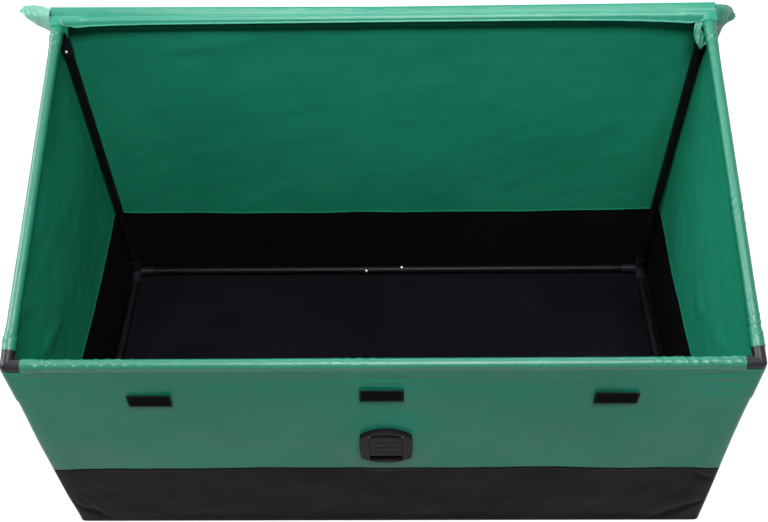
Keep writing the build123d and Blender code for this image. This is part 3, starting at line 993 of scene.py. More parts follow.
@dataclass(frozen=True)
class Plan:
    """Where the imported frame's tubes, walls and hinge lie, in metres.

    Attributes:
        half_width: From the middle to the side rails' axes.
        half_depth: From the middle to the front and rear rails' axes.
        front_z: Height of the front top rail's axis.
        rear_z: Height of the rear top rail's axis.
        cloth_x: From the middle to the side walls' cloth.
        cloth_y: From the middle to the front and rear walls' cloth.
        seam_z: Height of the seam between a wall and its band.
        top_gap: How far the walls end below the rails' axes.
        hinge_y: The hinge's place from front to rear.
        hinge_z: The hinge's height.
        shut_angle: How far the lid turns until it is shut, in radians.
        tube_radius: Outer radius of the tubes.
        arm_radius: Outer radius of a connector's arm.
        thickness: The walls' and the lid's cloth.
        sleeve_thickness: The sleeves' cloth.
        sleeve_start: From a corner to a sleeve's end.
        arm_length: Length of a connector's arm.
        corner_radius: Of the cloth round the uprights.
        left_splay: How far the left wall leans out.
        right_splay: How far the right wall leans out.
        ground: How far the middle of the cloth on the ground lies above it.
        lid_room: How far off the rails' axes the shut lid's panel lies.
    """

    half_width: float
    half_depth: float
    front_z: float
    rear_z: float
    cloth_x: float
    cloth_y: float
    seam_z: float
    top_gap: float
    hinge_y: float
    hinge_z: float
    shut_angle: float
    tube_radius: float
    arm_radius: float
    thickness: float = 0.001
    sleeve_thickness: float = 0.0008
    sleeve_start: float = 0.026
    arm_length: float = 0.042
    corner_radius: float = 0.0121
    left_splay: float = 0.004
    right_splay: float = 0.009
    ground: float = 0.0006
    lid_room: float = 0.0129

    @classmethod
    def of_frame(cls, packed: dict[str, Any]) -> "Plan":
        """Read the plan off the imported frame.


        Returns:
            The plan.
        """
        post_low, post_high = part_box("upright_rear_right")
        front_low, front_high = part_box("front_top_rail_left")
        rear_low, rear_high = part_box("rear_top_rail_left")
        wall_low, wall_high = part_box("front_wall")
        side_low, side_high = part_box("right_wall")
        hinge = next(j for j in packed["joints"] if j["name"] == "lid_hinge")
        front_z = (front_low.z + front_high.z) / 2
        return cls(
            half_width=(post_low.x + post_high.x) / 2,
            half_depth=(rear_low.y + rear_high.y) / 2,
            front_z=front_z,
            rear_z=(rear_low.z + rear_high.z) / 2,
            cloth_x=(side_low.x + side_high.x) / 2,
            cloth_y=-(wall_low.y + wall_high.y) / 2,
            seam_z=wall_low.z,
            top_gap=front_z - wall_high.z,
            hinge_y=hinge["pos_m"][1],
            hinge_z=hinge["pos_m"][2],
            shut_angle=math.radians(hinge["range_deg"][1]),
            tube_radius=(post_high.x - post_low.x) / 2,
            arm_radius=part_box("connector_rear_right_top")[1].x - (post_low.x + post_high.x) / 2,
        )

    @property
    def slope(self) -> float:
        """The side rails' angle above the level, in radians."""
        return math.atan2(self.rear_z - self.front_z, 2 * self.half_depth)

    def sleeve_radius(self, gap: Array) -> Array:
        """How far a sleeve's cloth lies from its rail's axis.

        Args:
            gap: Distance along the rail from the corner. A connector's arm lies in the first part.

        Returns:
            The radius of the cloth's middle surface.
        """
        clear = 0.00004
        snug = self.tube_radius + self.sleeve_thickness / 2 + 2 * clear
        wide = self.arm_radius + self.sleeve_thickness / 2 + clear
        return wide - (wide - snug) * smooth(gap, self.arm_length + 0.001, self.arm_length + 0.022)

    def splay(self, points: Array) -> Array:
        """Lean the side walls out towards the ground, as the standing box does.

        Args:
            points: Points of a wall or of the floor, with x, y and z last.

        Returns:
            The moved points.
        """
        x, z = points[..., 0], points[..., 2]
        low = 1 - smooth(z, 0.02, 0.44)
        middle = smooth(z, 0.0, 0.12) * (1 - smooth(z, 0.3, 0.47))
        share = np.abs(x) / self.cloth_x
        shift = np.where(x > 0, self.right_splay * low, -self.left_splay * middle) * share**3
        moved = points.copy()
        moved[..., 0] += shift
        return moved

    def side_top(self, y: Array) -> Array:
        """The height of a side wall's top edge at each y."""
        rise = (y + self.half_depth) * math.tan(self.slope)
        return self.front_z + rise - self.top_gap / math.cos(self.slope)


def around(s: Array, half_long: float, half_short: float, radius: float) -> tuple[Array, Array]:
    """Follow one wall of the box, and half of the rounded corner at each of its ends.

    Args:
        s: Distance along the wall from its middle.
        half_long: Half the box's length along the wall.
        half_short: The wall's distance from the box's middle.
        radius: The corners' radius.

    Returns:
        The place along the wall, and outwards from the box's middle.
    """
    straight = half_long - radius
    turn = np.clip((np.abs(s) - straight) / radius, 0, None)
    along = np.sign(s) * (np.minimum(np.abs(s), straight) + radius * np.sin(turn))
    return along, half_short - radius + radius * np.cos(turn)


@dataclass
class CornerTab:
    """The gathered tab of cloth that hangs off the right rear corner, in front of the upright.

    Attributes:
        top: Height of its sewn top.
        fall: How far it hangs down.
        lean: How far its foot comes forward.
        pleat: Height of its gathers.
        y: Where its sewn top lies, from the box's middle to the rear.
        width: Its width before it is gathered.
    """

    top: float = 0.7775
    fall: float = 0.0485
    lean: float = 0.0215
    pleat: float = 0.0013
    y: float = 0.3215
    width: float = 0.03

    def build(self, palette: Palette) -> None:
        """Make the tab and hang it under the strip's hem."""
        t = np.linspace(0, 1, 44)
        left = np.interp(t, [0, 0.25, 0.55, 0.8, 1], [0.6145, 0.6125, 0.6135, 0.6205, 0.6285])
        right = 0.6262 + 0.0135 * smooth(t, 0.3, 0.5) - 0.007 * smooth(t, 0.75, 1.0)
        share = np.linspace(0, 1, 48)[None, :]
        x = left[:, None] + (right - left)[:, None] * share
        down = np.broadcast_to(t[:, None], x.shape)
        slant = down + 0.12 * (share - 0.5) * np.sin(math.pi * down)
        y = self.y - self.lean * slant ** 0.8
        z = self.top - self.fall * down - 0.002 * np.sin(math.pi * share)
        points = np.stack([x, y, z], axis=2)
        height = float(math.hypot(self.fall, self.lean))
        u, v = np.meshgrid(np.linspace(0, self.width, 48), t * height)
        cloth = Cloth("right_corner_tab_cloth", points, u, v, 0.0008)
        gathers = np.cos(2 * math.pi * (2.6 * share + 1.1 * down)) * smooth(down, 0.0, 0.12)
        fold = np.exp(-(((share - 0.85 + 0.75 * down) / 0.09) ** 2))
        cloth.push(self.pleat * gathers * (1 - 0.4 * down) - 0.0016 * fold * smooth(down, 0.05, 0.2))
        # The tab's outer face wears the glossy lid copy of the cloth and its inner face the pale, glossy
        # copy: painted sheen and painted highlight.
        declare(
            cloth.build(palette["green_lid"], palette["green_folded"]), (self.width, height),
            Held.GATHERED, ["lid_strip_cloth"],
            area=min(measured_area(cloth), self.width * height),
        )


@dataclass
class WallCloth:
    """The cloth of one wall, from its band at the foot to the rail that it hangs from.

    Attributes:
        plan: Where the frame lies.
        word: front, rear, left or right.
        creases: Folds in the green cloth, as (along, height) in metres.
        band_creases: Folds in the black band.
        hollow: How far the middle of the cloth is drawn in.
        swell: Height of its soft undulations.
        swell_length: From one of them to the next.
        small_length: From one of the smaller ones on them to the next.
        seed: Fixed seed of the undulations.
        columns: How many points lie along it.
        rows: How many points lie up its green cloth, between the seams.
        seam_drop: How far below the rail's axis the sleeve is sewn to it.
    """

    plan: Plan
    word: str
    creases: list[Crease] = field(default_factory=list)
    band_creases: list[Crease] = field(default_factory=list)
    hollow: float = 0.003
    swell: float = 0.0012
    swell_length: float = 0.19
    small_length: float = 0.06
    seed: int = 1
    columns: int = 260
    rows: int = 62
    seam_drop: float = 0.026

    @property
    def is_end(self) -> bool:
        """Whether this is the front or rear wall."""
        return self.word in ("front", "rear")

    def half_length(self) -> float:
        """Half the cloth's length along the wall, with half of both corners."""
        size = self.plan.cloth_x if self.is_end else self.plan.cloth_y
        return size - self.plan.corner_radius * (1 - math.pi / 4)

    def locate(self, s: Array, z: Array) -> list[Array]:
        """Turn places on the wall into x, y and z."""
        plan = self.plan
        if self.is_end:
            along, out = around(s, plan.cloth_x, plan.cloth_y, plan.corner_radius)
            sign = 1 if self.word == "rear" else -1
            return [-sign * along, sign * out, z]
        along, out = around(s, plan.cloth_y, plan.cloth_x, plan.corner_radius)
        sign = 1 if self.word == "right" else -1
        return [sign * out, sign * along, z]

    def top(self, s: Array) -> Array:
        """The height of the wall's top edge at each place along it."""
        plan = self.plan
        if self.word == "front":
            return np.full_like(s, plan.front_z - plan.top_gap)
        if self.word == "rear":
            return np.full_like(s, plan.rear_z - plan.top_gap)
        y = self.locate(s, s)[1]
        return plan.side_top(y)

    def depth(self, s: Array, z: Array, creases: list[Crease]) -> Array:
        """How far in the cloth lies at each place, in metres, never outside its plane."""
        plan = self.plan
        top = self.top(s)
        share = np.clip(z / top, 0, 1)
        edge = self.half_length() - np.abs(s)
        middle = 1 - smooth(np.abs(s), 0.35 * self.half_length(), self.half_length() - 0.02)
        depth = self.hollow * middle * np.sin(math.pi * share) ** 0.7
        calm = smooth(edge, 0.012, 0.06) * smooth(top - z, 0.0, 0.04) * smooth(z, 0.0, 0.03)
        depth = depth + self.swell * (1 + ripples(s, z, self.swell_length, self.seed)) * calm
        small = ripples(s, z, self.small_length, self.seed + 50)
        depth = depth + 0.3 * self.swell * (1 + small) * calm
        corner = 1 - smooth(edge, 0.0, 0.03)
        depth = depth + 0.0022 * corner * np.sin(math.pi * share) ** 0.35
        for crease in creases:
            depth = depth + crease.press(s, z)
        if self.word == "front":
            depth = depth * self.beside_handle(s, z)
        tucked = smooth(edge, 0.004, 0.02)
        depth = depth + 0.0009 * tucked * np.exp(-(((z - plan.seam_z) / 0.0022) ** 2))
        sewn = top - z - (self.seam_drop - plan.top_gap)
        furrow = 0.0002 if self.word == "front" else 0.0005
        depth = depth + furrow * tucked * np.exp(-((sewn / 0.002) ** 2))
        corner_reach = plan.cloth_x - plan.half_width - plan.corner_radius * (1 - math.pi / 4)
        snug = plan.cloth_x - plan.half_width - plan.sleeve_radius(edge - corner_reach)
        beside_arm = (1 - smooth(edge, 0.024, 0.045)) * (1 - smooth(top - z, 0.085, 0.12))
        depth = np.minimum(depth, 0.02 * (1 - beside_arm) + 0.00002)
        depth = depth + snug * (1 - smooth(top - z, 0.0, 0.11))
        return np.maximum(depth, 0)

    def beside_handle(self, s: Array, z: Array) -> Array:
        """A share that falls to zero where the handle holds the cloth flat."""
        low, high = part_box("handle_housing")
        x, middle = (low.x + high.x) / 2, (low.z + high.z) / 2
        return smooth(np.hypot(s - x, z - middle), 0.062, 0.12)

    def sheet(self, name: str, low: float, high: Callable[[Array], Array], creases: list[Crease],
              rows: int) -> Cloth:
        """Make one height range of the wall, with its points close together beside its seams.

        Args:
            name: The piece's name.
            low: The height of its lower edge.
            high: Gives the height of its upper edge at each place along the wall.
            creases: Its folds.
            rows: How many rows of points its open part has.

        Returns:
            The cloth.
        """
        half, bend = self.half_length(), 0.02
        straight = np.linspace(-half + bend, half - bend, self.columns)
        corner = np.linspace(0, bend, 9)[:-1]
        stations = np.concatenate([-half + corner, straight, half - corner[::-1]])
        height = float(np.mean(high(straight))) - low
        seam, top_seam = 0.008, 0.03
        levels = np.concatenate([
            np.linspace(0, seam, 8)[:-1], np.linspace(seam, height - top_seam, rows)[:-1],
            np.linspace(height - top_seam, height, 20),
        ]) / height

        def point(s: Array, t: Array) -> list[Array]:
            """Where the cloth lies, along the wall and up it."""
            z = low + t * (high(s) - low)
            return self.locate(s, z)

        points, s, t = grid(levels, stations, point)
        z = points[..., 2]
        cloth = Cloth(name, points, s, z, self.plan.thickness)
        cloth.push(-self.depth(s, z, creases))
        cloth.points = self.plan.splay(cloth.points)
        return cloth

    def build(self, palette: Palette, stitches: Stitches) -> None:
        """Make the green cloth and the black band, and hang them on the frame."""
        plan = self.plan
        rise = plan.seam_z
        green = self.sheet(f"{self.word}_cloth", rise, self.top, self.creases, self.rows)
        band = self.sheet(
            f"{self.word}_band_cloth", plan.ground, lambda s: np.full_like(s, rise - 0.0001),
            self.band_creases, self.rows // 2,
        )
        width = 2 * self.half_length()
        height = float(np.mean(self.top(green.u[0]))) - rise
        hung = green.build(palette["green"], palette["green_back"])
        declare(hung, (width, height), Held.HUNG, [f"{self.word}_sleeve_cloth"],
                node=f"{self.word}_wall")
        declare(band.build(palette["black"]), (width, rise), Held.HUNG, [hung.name],
                node=f"{self.word}_band", slot="black_fabric")
        drop = self.seam_drop - plan.top_gap
        margin, above_seam, below_seam, hem = 0.012, 0.004, 0.005, 0.007
        stitches.add("frame", Thread.GREEN, green.run(0, rise + above_seam, margin))
        stitches.add("frame", Thread.BLACK, band.run(0, rise - below_seam, margin))
        stitches.add("frame", Thread.BLACK, band.run(0, hem, margin))
        if self.is_end:
            stitches.add("frame", Thread.GREEN, green.run(0, rise + height - drop, margin))
            return
        level = np.abs(green.v - (self.top(green.u) - drop)).argmin(axis=0)
        columns = np.arange(green.points.shape[1])[8:-8]
        stitches.add("frame", Thread.GREEN, green.skin()[level[columns], columns])


@dataclass
class FloorCloth:
    """The black floor panel, which lies on the ground inside the bands.

    Attributes:
        plan: Where the frame lies.
        rows: How many points lie from front to rear.
        columns: How many points lie across it.
    """

    plan: Plan
    rows: int = 120
    columns: int = 200

    def build(self, palette: Palette) -> None:
        """Make the floor's cloth."""
        plan = self.plan
        half_x, half_y = plan.cloth_x - 0.0002, plan.cloth_y - 0.0002
        radius = plan.corner_radius

        def point(x: Array, y: Array) -> list[Array]:
            """Where the floor lies, drawn in at its rounded corners."""
            dx = np.clip(np.abs(x) - half_x + radius, 0, None) / radius
            dy = np.clip(np.abs(y) - half_y + radius, 0, None) / radius
            inset_x = radius * dx * (1 - np.sqrt(1 - dy**2 / 2))
            inset_y = radius * dy * (1 - np.sqrt(1 - dx**2 / 2))
            return [x - np.sign(x) * inset_x, y - np.sign(y) * inset_y, np.full_like(x, plan.ground)]

        def stations(half: float, count: int) -> Array:
            """Places across the floor, close together in its rounded corners."""
            corner = np.linspace(half - radius, half, 7)
            middle = np.linspace(radius - half, half - radius, count)
            return np.concatenate([-corner[:0:-1], middle, corner[1:]])

        points, x, y = grid(stations(half_y, self.rows), stations(half_x, self.columns), point)
        clear = smooth(half_x - np.abs(x), 0.05, 0.12) * smooth(half_y - np.abs(y), 0.05, 0.12)
        points[..., 2] += 0.0022 * clear * np.clip(ripples(x, y, 0.24, 71) + 0.3, 0, None)
        cloth = Cloth("floor_cloth", plan.splay(points), x, y, plan.thickness)
        declare(cloth.build(palette["black"]), (2 * half_x, 2 * half_y), Held.LAID,
                ["front_band_cloth"], node="floor_panel", slot="black_fabric")


@dataclass
class RailSleeve:
    """The channel of cloth that a top rail runs through, sewn to the wall inside.

    Attributes:
        plan: Where the frame lies.
        word: front, rear, left or right.
        crinkle: Height of the small folds across it.
        busy: Where along it the folds are strongest, as shares of its length.
        seed: Fixed seed of the folds.
        seam_drop: How far below the rail's axis it is sewn to the wall.
        wrap: How far round the rail it goes before it falls to its seam, in degrees.
        fold_length: From one small fold to the next.
        soft_length: From one soft fold to the next.
        columns: How many points lie along it.
    """

    plan: Plan
    word: str
    crinkle: float = 0.001
    busy: tuple[float, ...] = (0.06, 0.93)
    seed: int = 5
    seam_drop: float = 0.026
    wrap: float = 200.0
    fold_length: float = 0.03
    soft_length: float = 0.09
    columns: int = 520

    def axis(self) -> tuple[Vector, Vector, Vector, Vector]:
        """The sleeve's two ends on the rail's axis, its outward way and its upward way."""
        plan = self.plan
        sign = -1 if self.word in ("front", "left") else 1
        if self.word in ("front", "rear"):
            z = plan.front_z if self.word == "front" else plan.rear_z
            reach = plan.half_width - plan.sleeve_start
            y = sign * plan.half_depth
            start, finish = Vector((sign * reach, y, z)), Vector((-sign * reach, y, z))
            return start, finish, Vector((0, sign, 0)), Vector((0, 0, 1))
        slope = Vector((0, math.cos(plan.slope), math.sin(plan.slope)))
        front = Vector((sign * plan.half_width, -plan.half_depth, plan.front_z))
        rear = Vector((sign * plan.half_width, plan.half_depth, plan.rear_z))
        low, high = front + slope * plan.sleeve_start, rear - slope * plan.sleeve_start
        upward = Vector((0, -math.sin(plan.slope), math.cos(plan.slope)))
        ends = (low, high) if sign > 0 else (high, low)
        return *ends, Vector((sign, 0, 0)), upward

    def section(self, radius: Array) -> tuple[Array, Array, Array]:
        """The sleeve's outline round the rail.

        Args:
            radius: Of the cloth's middle round the rail, at each column.

        Returns:
            The distance along the outline, and its outward and upward parts at each column.
        """
        lower = np.linspace(-self.plan.top_gap, 0, 4)[:-1, None] * np.ones_like(radius)
        turn = np.linspace(0, math.radians(self.wrap), 36)[:, None]
        round_out, round_up = radius * np.cos(turn), radius * np.sin(turn)
        share = np.linspace(0, 1, 12)[1:, None]
        tail_out = bow(share, round_out[-1], round_out[-1] * 0.78, radius - 0.0016)
        tail_up = bow(share, round_up[-1], -0.62 * self.seam_drop, -self.seam_drop)
        out = np.concatenate([np.broadcast_to(radius, lower.shape), round_out, tail_out])
        up = np.concatenate([lower, round_up, tail_up])
        middle = out.shape[1] // 2
        return walked(np.stack([out[:, middle], up[:, middle]], axis=1)), out, up

    def build(self, palette: Palette) -> None:
        """Make the sleeve and put it on its rail."""
        plan = self.plan
        start, finish, outward, upward = self.axis()
        length = (finish - start).length
        along = (finish - start) / length
        share = np.linspace(0, 1, self.columns)
        gap = plan.sleeve_start + length * np.minimum(share, 1 - share)
        radius = plan.sleeve_radius(gap)
        path, out, up = self.section(radius)
        points = np.array(start) + share[None, :, None] * np.array(along * length)
        points = points + out[..., None] * np.array(outward) + up[..., None] * np.array(upward)
        u, v = np.meshgrid(share * length, path)
        cloth = Cloth(f"{self.word}_sleeve_cloth", points, u, v, plan.sleeve_thickness)
        strength = 0.1 + sum(np.exp(-((share - at) / 0.055) ** 2) for at in self.busy)
        skewed = u + 0.5 * v
        fold = 1 - 1.6 * np.abs(ripples(skewed, 0.3 * v, self.fold_length, self.seed, 9)) ** 0.8
        soft = ripples(u, 0.3 * v, self.soft_length, self.seed + 9)
        held = smooth(v, 0.0, 0.008) * smooth(path[-1] - v, 0.0, 0.012)
        ends = smooth(np.minimum(u, length - u), 0.0, 0.006)
        rise = self.crinkle * held * ends * (strength[None, :] * fold + 0.1 * soft)
        room = plan.lid_room - radius - plan.sleeve_thickness / 2
        cloth.push(np.clip(rise, -0.00002, np.minimum(room, 0.0013)[None, :]))
        is_side = self.word in ("left", "right")
        rests = [f"side_top_rail_{self.word}"] if is_side else [
            f"{self.word}_top_rail_{side.word}" for side in Side]
        # The sleeve wears the darker, glossier copy of the cloth: painted shade and painted sheen.
        declare(cloth.build(palette["green_taut"], palette["green_back"]), (length, float(path[-1])),
                Held.FOLDED, rests, node=f"{self.word}_sleeve")


@dataclass
class CornerCap:
    """The cloth over a rear top corner, from the rear sleeve round to the side sleeve.

    It covers the connector from outside and above, and a gathered flap hangs down inside.

    Attributes:
        plan: Where the frame lies.
        side: Left or right.
        flap: How far the flap hangs down at its middle.
        reach: How far along each rail it goes.
        pucker: Height of the gathers in the flap.
        fullness: How much the flap's tip swings in from the corner.
    """

    plan: Plan
    side: Side
    flap: float = 0.024
    reach: float = 0.026
    pucker: float = 0.0012
    fullness: float = 0.003

    def gap_to_frame(self, at: Array, blend: Array) -> Array:
        """How far each point is from the nearest rail or upright, smoothly joined.

        Args:
            at: Points, with the corner at the origin and the box on the negative sides.
            blend: How widely two rails' shapes run into each other.

        Returns:
            The distance from the rails' axes.
        """
        slope = self.plan.slope
        ways = ((-1.0, 0.0, 0.0), (0.0, -math.cos(slope), -math.sin(slope)), (0.0, 0.0, -1.0))
        near = None
        for way in ways:
            along = np.clip(at @ np.array(way), 0, 0.08)
            gap = np.linalg.norm(at - along[..., None] * np.array(way), axis=-1)
            if near is None:
                near = gap
            else:
                mix = np.clip(0.5 + 0.5 * (near - gap) / blend, 0, 1)
                near = near * (1 - mix) + gap * mix - blend * mix * (1 - mix)
        return near

    def build(self, palette: Palette) -> None:
        """Make the cap between the two sleeves."""
        plan = self.plan
        # Up to this far along each rail's axis from the corner, the rays turn round it.
        inner = 0.024
        turn = np.radians(np.linspace(0, 90, 61))
        beyond = np.linspace(self.reach - inner, 0, 4)[:-1]
        on_side = turn < math.radians(45)
        spread = np.tan(np.minimum(turn, math.pi / 2 - turn))
        gap = np.concatenate([inner + beyond, inner * (1 - spread), inner + beyond[::-1]])
        turn = np.concatenate([np.zeros(3), turn, np.full(3, math.pi / 2)])
        on_side = np.concatenate([np.ones(3, bool), on_side, np.zeros(3, bool)])
        slope = plan.slope
        side_way = np.array([0.0, -math.cos(slope), -math.sin(slope)])
        rear_way = np.array([-1.0, 0.0, 0.0])
        middle = gap[:, None] * np.where(on_side[:, None], side_way, rear_way)
        facing = np.stack([np.cos(turn), np.sin(turn), np.zeros_like(turn)], axis=1)
        lean = slope * (1 - smooth(turn, 0.0, math.pi / 2))
        above = np.stack([np.zeros_like(turn), -np.sin(lean), np.cos(lean)], axis=1)
        angles = np.radians(np.concatenate([np.linspace(-25, 90, 22), np.linspace(90, 184, 20)[1:]]))
        ray = np.cos(angles)[:, None, None] * facing + np.sin(angles)[:, None, None] * above
        blend = (0.0004 + 0.004 * smooth(angles, math.radians(110), math.radians(170)))[:, None]
        blend = blend * np.ones_like(turn)
        radius = plan.arm_radius + plan.sleeve_thickness / 2 + 0.00004
        nearest, farthest, halvings = 0.004, 0.05, 26
        low, high = np.full(ray.shape[:2], nearest), np.full(ray.shape[:2], farthest)
        for _ in range(halvings):
            reach = (low + high) / 2
            inside = self.gap_to_frame(middle + reach[..., None] * ray, blend) < radius
            low, high = np.where(inside, reach, low), np.where(inside, high, reach)
        shell = middle + low[..., None] * ray
        share = np.linspace(0, 1, 22)[1:, None]
        across = np.linspace(0, 1, len(turn))
        hang = 0.002 + self.flap * np.sin(math.pi * across) ** 1.6
        pleats = self.pucker * np.sin(2 * math.pi * (5.5 * across + 0.3 * share)) * share
        swing = self.fullness * np.sin(math.pi * share * 0.8) * np.sin(math.pi * across) + pleats
        fall = shell[-1] - facing * swing[..., None] - np.array([0, 0, 1.0]) * (share * hang)[..., None]
        pinch = 1 - 0.62 * share * np.sin(math.pi * across) ** 0.5
        centre = fall[:, len(turn) // 2][:, None, :]
        fall = np.where(np.array([True, True, False]), centre + (fall - centre) * pinch[..., None], fall)
        local = np.concatenate([shell, fall])
        points = local * np.array([self.side.value, 1, 1])
        points = points + np.array([self.side.value * plan.half_width, plan.half_depth, plan.rear_z])
        path = walked(local[:, len(turn) // 2])
        u, v = np.meshgrid(walked(local[20]), path)
        cloth = Cloth(f"{self.side.word}_corner_cloth", points, u, v, plan.sleeve_thickness,
                      turned=self.side is Side.RIGHT)
        flat = (2 * self.reach + 2 * radius, float(path[-1]))
        # The cap wears the darker, glossier copy of the cloth: painted shade and painted sheen.
        declare(
            cloth.build(palette["green_taut"], palette["green_back"]), flat, Held.GATHERED,
            [f"connector_rear_{self.side.word}_top"],
            area=min(flat[0] * flat[1], measured_area(cloth)),
        )


@dataclass
class Lid:
    """The flap lid, thrown back over the rear rail and hanging behind the box.

    Attributes:
        plan: Where the frame lies.
        skirt: Depth of the skirts.
        cord_radius: Radius of the cord in the hem that the lid turns on.
        middle_sag: How far the hinge line hangs in its middle.
        right_sag: How far its right end hangs.
        hem_angle: Where on the rail the strip's front hem lies, in degrees from outwards.
        leave_angle: Where it leaves the rail for the cord, in degrees from outwards.
        lip_curl: How far the lip of its hem curls, in degrees.
        lip_step: Length of each of the six steps that the lip is made of.
        strip_thickness: The strip's thickness.
        stitch_inset: How far the sewing lies inside an edge.
        hem_inset: How far a skirt's lower sewing lies inside its hem.
    """

    plan: Plan
    skirt: float = 0.124
    cord_radius: float = 0.0022
    middle_sag: float = 0.0070
    right_sag: float = 0.0052
    hem_angle: float = 160.0
    leave_angle: float = 72.0
    lip_curl: float = 58.0
    lip_step: float = 0.00085
    strip_thickness: float = 0.0006
    stitch_inset: float = 0.004
    hem_inset: float = 0.008

    def length(self) -> float:
        """The lid's length from the hinge to its front edge."""
        return self.plan.hinge_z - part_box("lid_panel")[0].z

    def half_width(self) -> float:
        """Half the lid's width."""
        low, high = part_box("lid_panel")
        return (high.x - low.x) / 2 - 0.0005

    def sag(self, x: Array) -> Array:
        """How far the hinge line hangs below its axis at each x."""
        half = self.half_width()
        return np.interp(x, [-half, 0.0, half], [0.0, self.middle_sag, self.right_sag])

    def skirt_way(self, extra: Array = 0.0) -> tuple[Array, Array]:
        """The way that a skirt stands off the open lid, drooping by an extra angle in radians."""
        turn = -(self.plan.shut_angle - math.radians(270)) - extra
        return np.cos(turn), np.sin(turn)

    def build(self, palette: Palette, stitches: Stitches) -> None:
        """Make the lid's panel, its skirts, the hinge strip and the loop tapes."""
        # The lid's pieces wear the glossy lid copy of the cloth on one face: painted sheen.
        self.build_panel(palette, stitches)
        self.build_front_skirt(palette, stitches)
        for side in Side:
            self.build_side_skirt(side, palette, stitches)
        self.build_strip(palette, stitches)
        for side in Side:
            self.build_fold(side, palette)

    def build_panel(self, palette: Palette, stitches: Stitches) -> None:
        """Make the panel, with long soft folds that grow towards its hem."""
        length, half = self.length(), self.half_width()
        plan = self.plan

        def point(x: Array, p: Array) -> list[Array]:
            """Where the panel hangs, across the lid and down from the hinge."""
            low = plan.hinge_z - p - self.sag(x) * (1 - smooth(p, 0.0, 0.3))
            return [x, np.full_like(x, plan.hinge_y), low]

        points, x, p = grid(
            np.linspace(0.0028, length - 0.0008, 100), np.linspace(half, -half, 260), point
        )
        free = smooth(p, 0.02, 0.5) * smooth(half - np.abs(x), 0.0, 0.1) * smooth(length - p, 0.0, 0.06)
        sway = 0.5 * (1 + ripples(x, 0.18 * p, 0.21, 31))
        points[..., 1] += 0.009 * free * sway + 0.0003 * free * (1 + ripples(x, p, 0.1, 33))
        cloth = Cloth("lid_panel_cloth", points, x, p, plan.thickness)
        declare(cloth.build(palette["green_back"], palette["green_lid"]), (2 * half, length), Held.HUNG,
                [f"lid_fold_{side.word}_cloth" for side in Side], "lid", "lid_panel")
        inset = self.stitch_inset
        for at in (half - inset, inset - half):
            stitches.add("lid", Thread.GREEN, cloth.run(1, at, 0.02))
        for inside in (False, True):
            stitches.add("lid", Thread.GREEN, cloth.run(0, length - inset, 0.006, inside))

    def front_skirt_point(self, x: Array, w: Array) -> list[Array]:
        """Where the front skirt's cloth lies, across the lid and down the skirt."""
        half = self.half_width()
        out, up = self.skirt_way()
        share = w / self.skirt
        sag = 0.004 * np.sin(math.pi * share) * (1 - (x / half) ** 2)
        wave = 0.0015 * ripples(x, w, 0.2, 41) * smooth(half - np.abs(x), 0.0, 0.1)
        y = self.plan.hinge_y + 0.001 + w * out
        z = self.plan.hinge_z - self.length() + 0.0006 + w * up - sag + wave * share
        return [x, y, z]

    def build_front_skirt(self, palette: Palette, stitches: Stitches) -> None:
        """Make the front skirt, which stands off the hem of the hanging lid, and its loop tapes."""
        half = self.half_width()
        points, x, w = grid(
            np.linspace(0, self.skirt, 24), np.linspace(-half, half, 240), self.front_skirt_point
        )
        cloth = Cloth("lid_front_skirt_cloth", points, x, w, self.plan.thickness, turned=True)
        hung = cloth.build(palette["green_lid"], palette["green_back"])
        declare(hung, (2 * half, self.skirt), Held.FOLDED, ["lid_panel_cloth"], "lid", "lid_front_skirt")
        for at in (self.stitch_inset, self.skirt - self.hem_inset):
            stitches.add("lid", Thread.GREEN, cloth.run(0, at, 0.006))
        low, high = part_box("loop_patches")
        out, up = self.skirt_way()
        depth = ((low.y + high.y) / 2 - self.plan.hinge_y) / out
        for word, x_at, rise in TAPES:
            def on_skirt(u: Array, v: Array, x_at: float = x_at, rise: float = rise) -> list[Array]:
                """Where the loop tape lies on the skirt's inner face."""
                flat = self.front_skirt_point(u + x_at, v + depth - rise)
                return [flat[0], flat[1] - 0.0009 * up, flat[2] + 0.0009 * out]
            FasteningTape(f"loop_tape_{word}", Pile.LOOPS, on_skirt).build(
                "lid", "loop_patches", "loop_tape", hung.name, palette, stitches)

    def build_side_skirt(self, side: Side, palette: Palette, stitches: Stitches) -> None:
        """Make a side skirt, which splays into an ear where it leaves the hinge."""
        plan = self.plan
        half = self.half_width()
        length = self.length()

        def point(w: Array, p: Array) -> list[Array]:
            """Where the skirt stands, across it and down from the hinge."""
            share = w / self.skirt
            if side is Side.LEFT:
                splay, fall, reach = math.radians(44), math.radians(13), 0.088
                settle = np.exp(-((p / reach) ** 1.2))
                turn, droop = splay * settle, fall * settle
            else:
                splay, kick, fall = math.radians(29), math.radians(7), math.radians(24)
                kick_at, kick_reach, fall_reach = 0.012, 0.03, 0.16
                settle = 1 - smooth(p, 0.12, 0.42)
                turn = splay * settle + kick * np.exp(-(((p - kick_at) / kick_reach) ** 2))
                droop = fall * np.exp(-((p / fall_reach) ** 1.5))
            out, up = self.skirt_way(droop)
            turn = turn * (0.86 + 0.14 * share)
            curl = 0.005 * np.sin(math.pi * share) * settle
            x = side.value * (half + w * np.sin(turn) + curl)
            y = plan.hinge_y + w * np.cos(turn) * out
            sink = self.sag(side.value * half) * (1 - smooth(p, 0.0, 0.3))
            z = plan.hinge_z - p + w * np.cos(turn) * up - sink + 0.006 * np.sin(math.pi * share) * settle
            return [x, y, z]

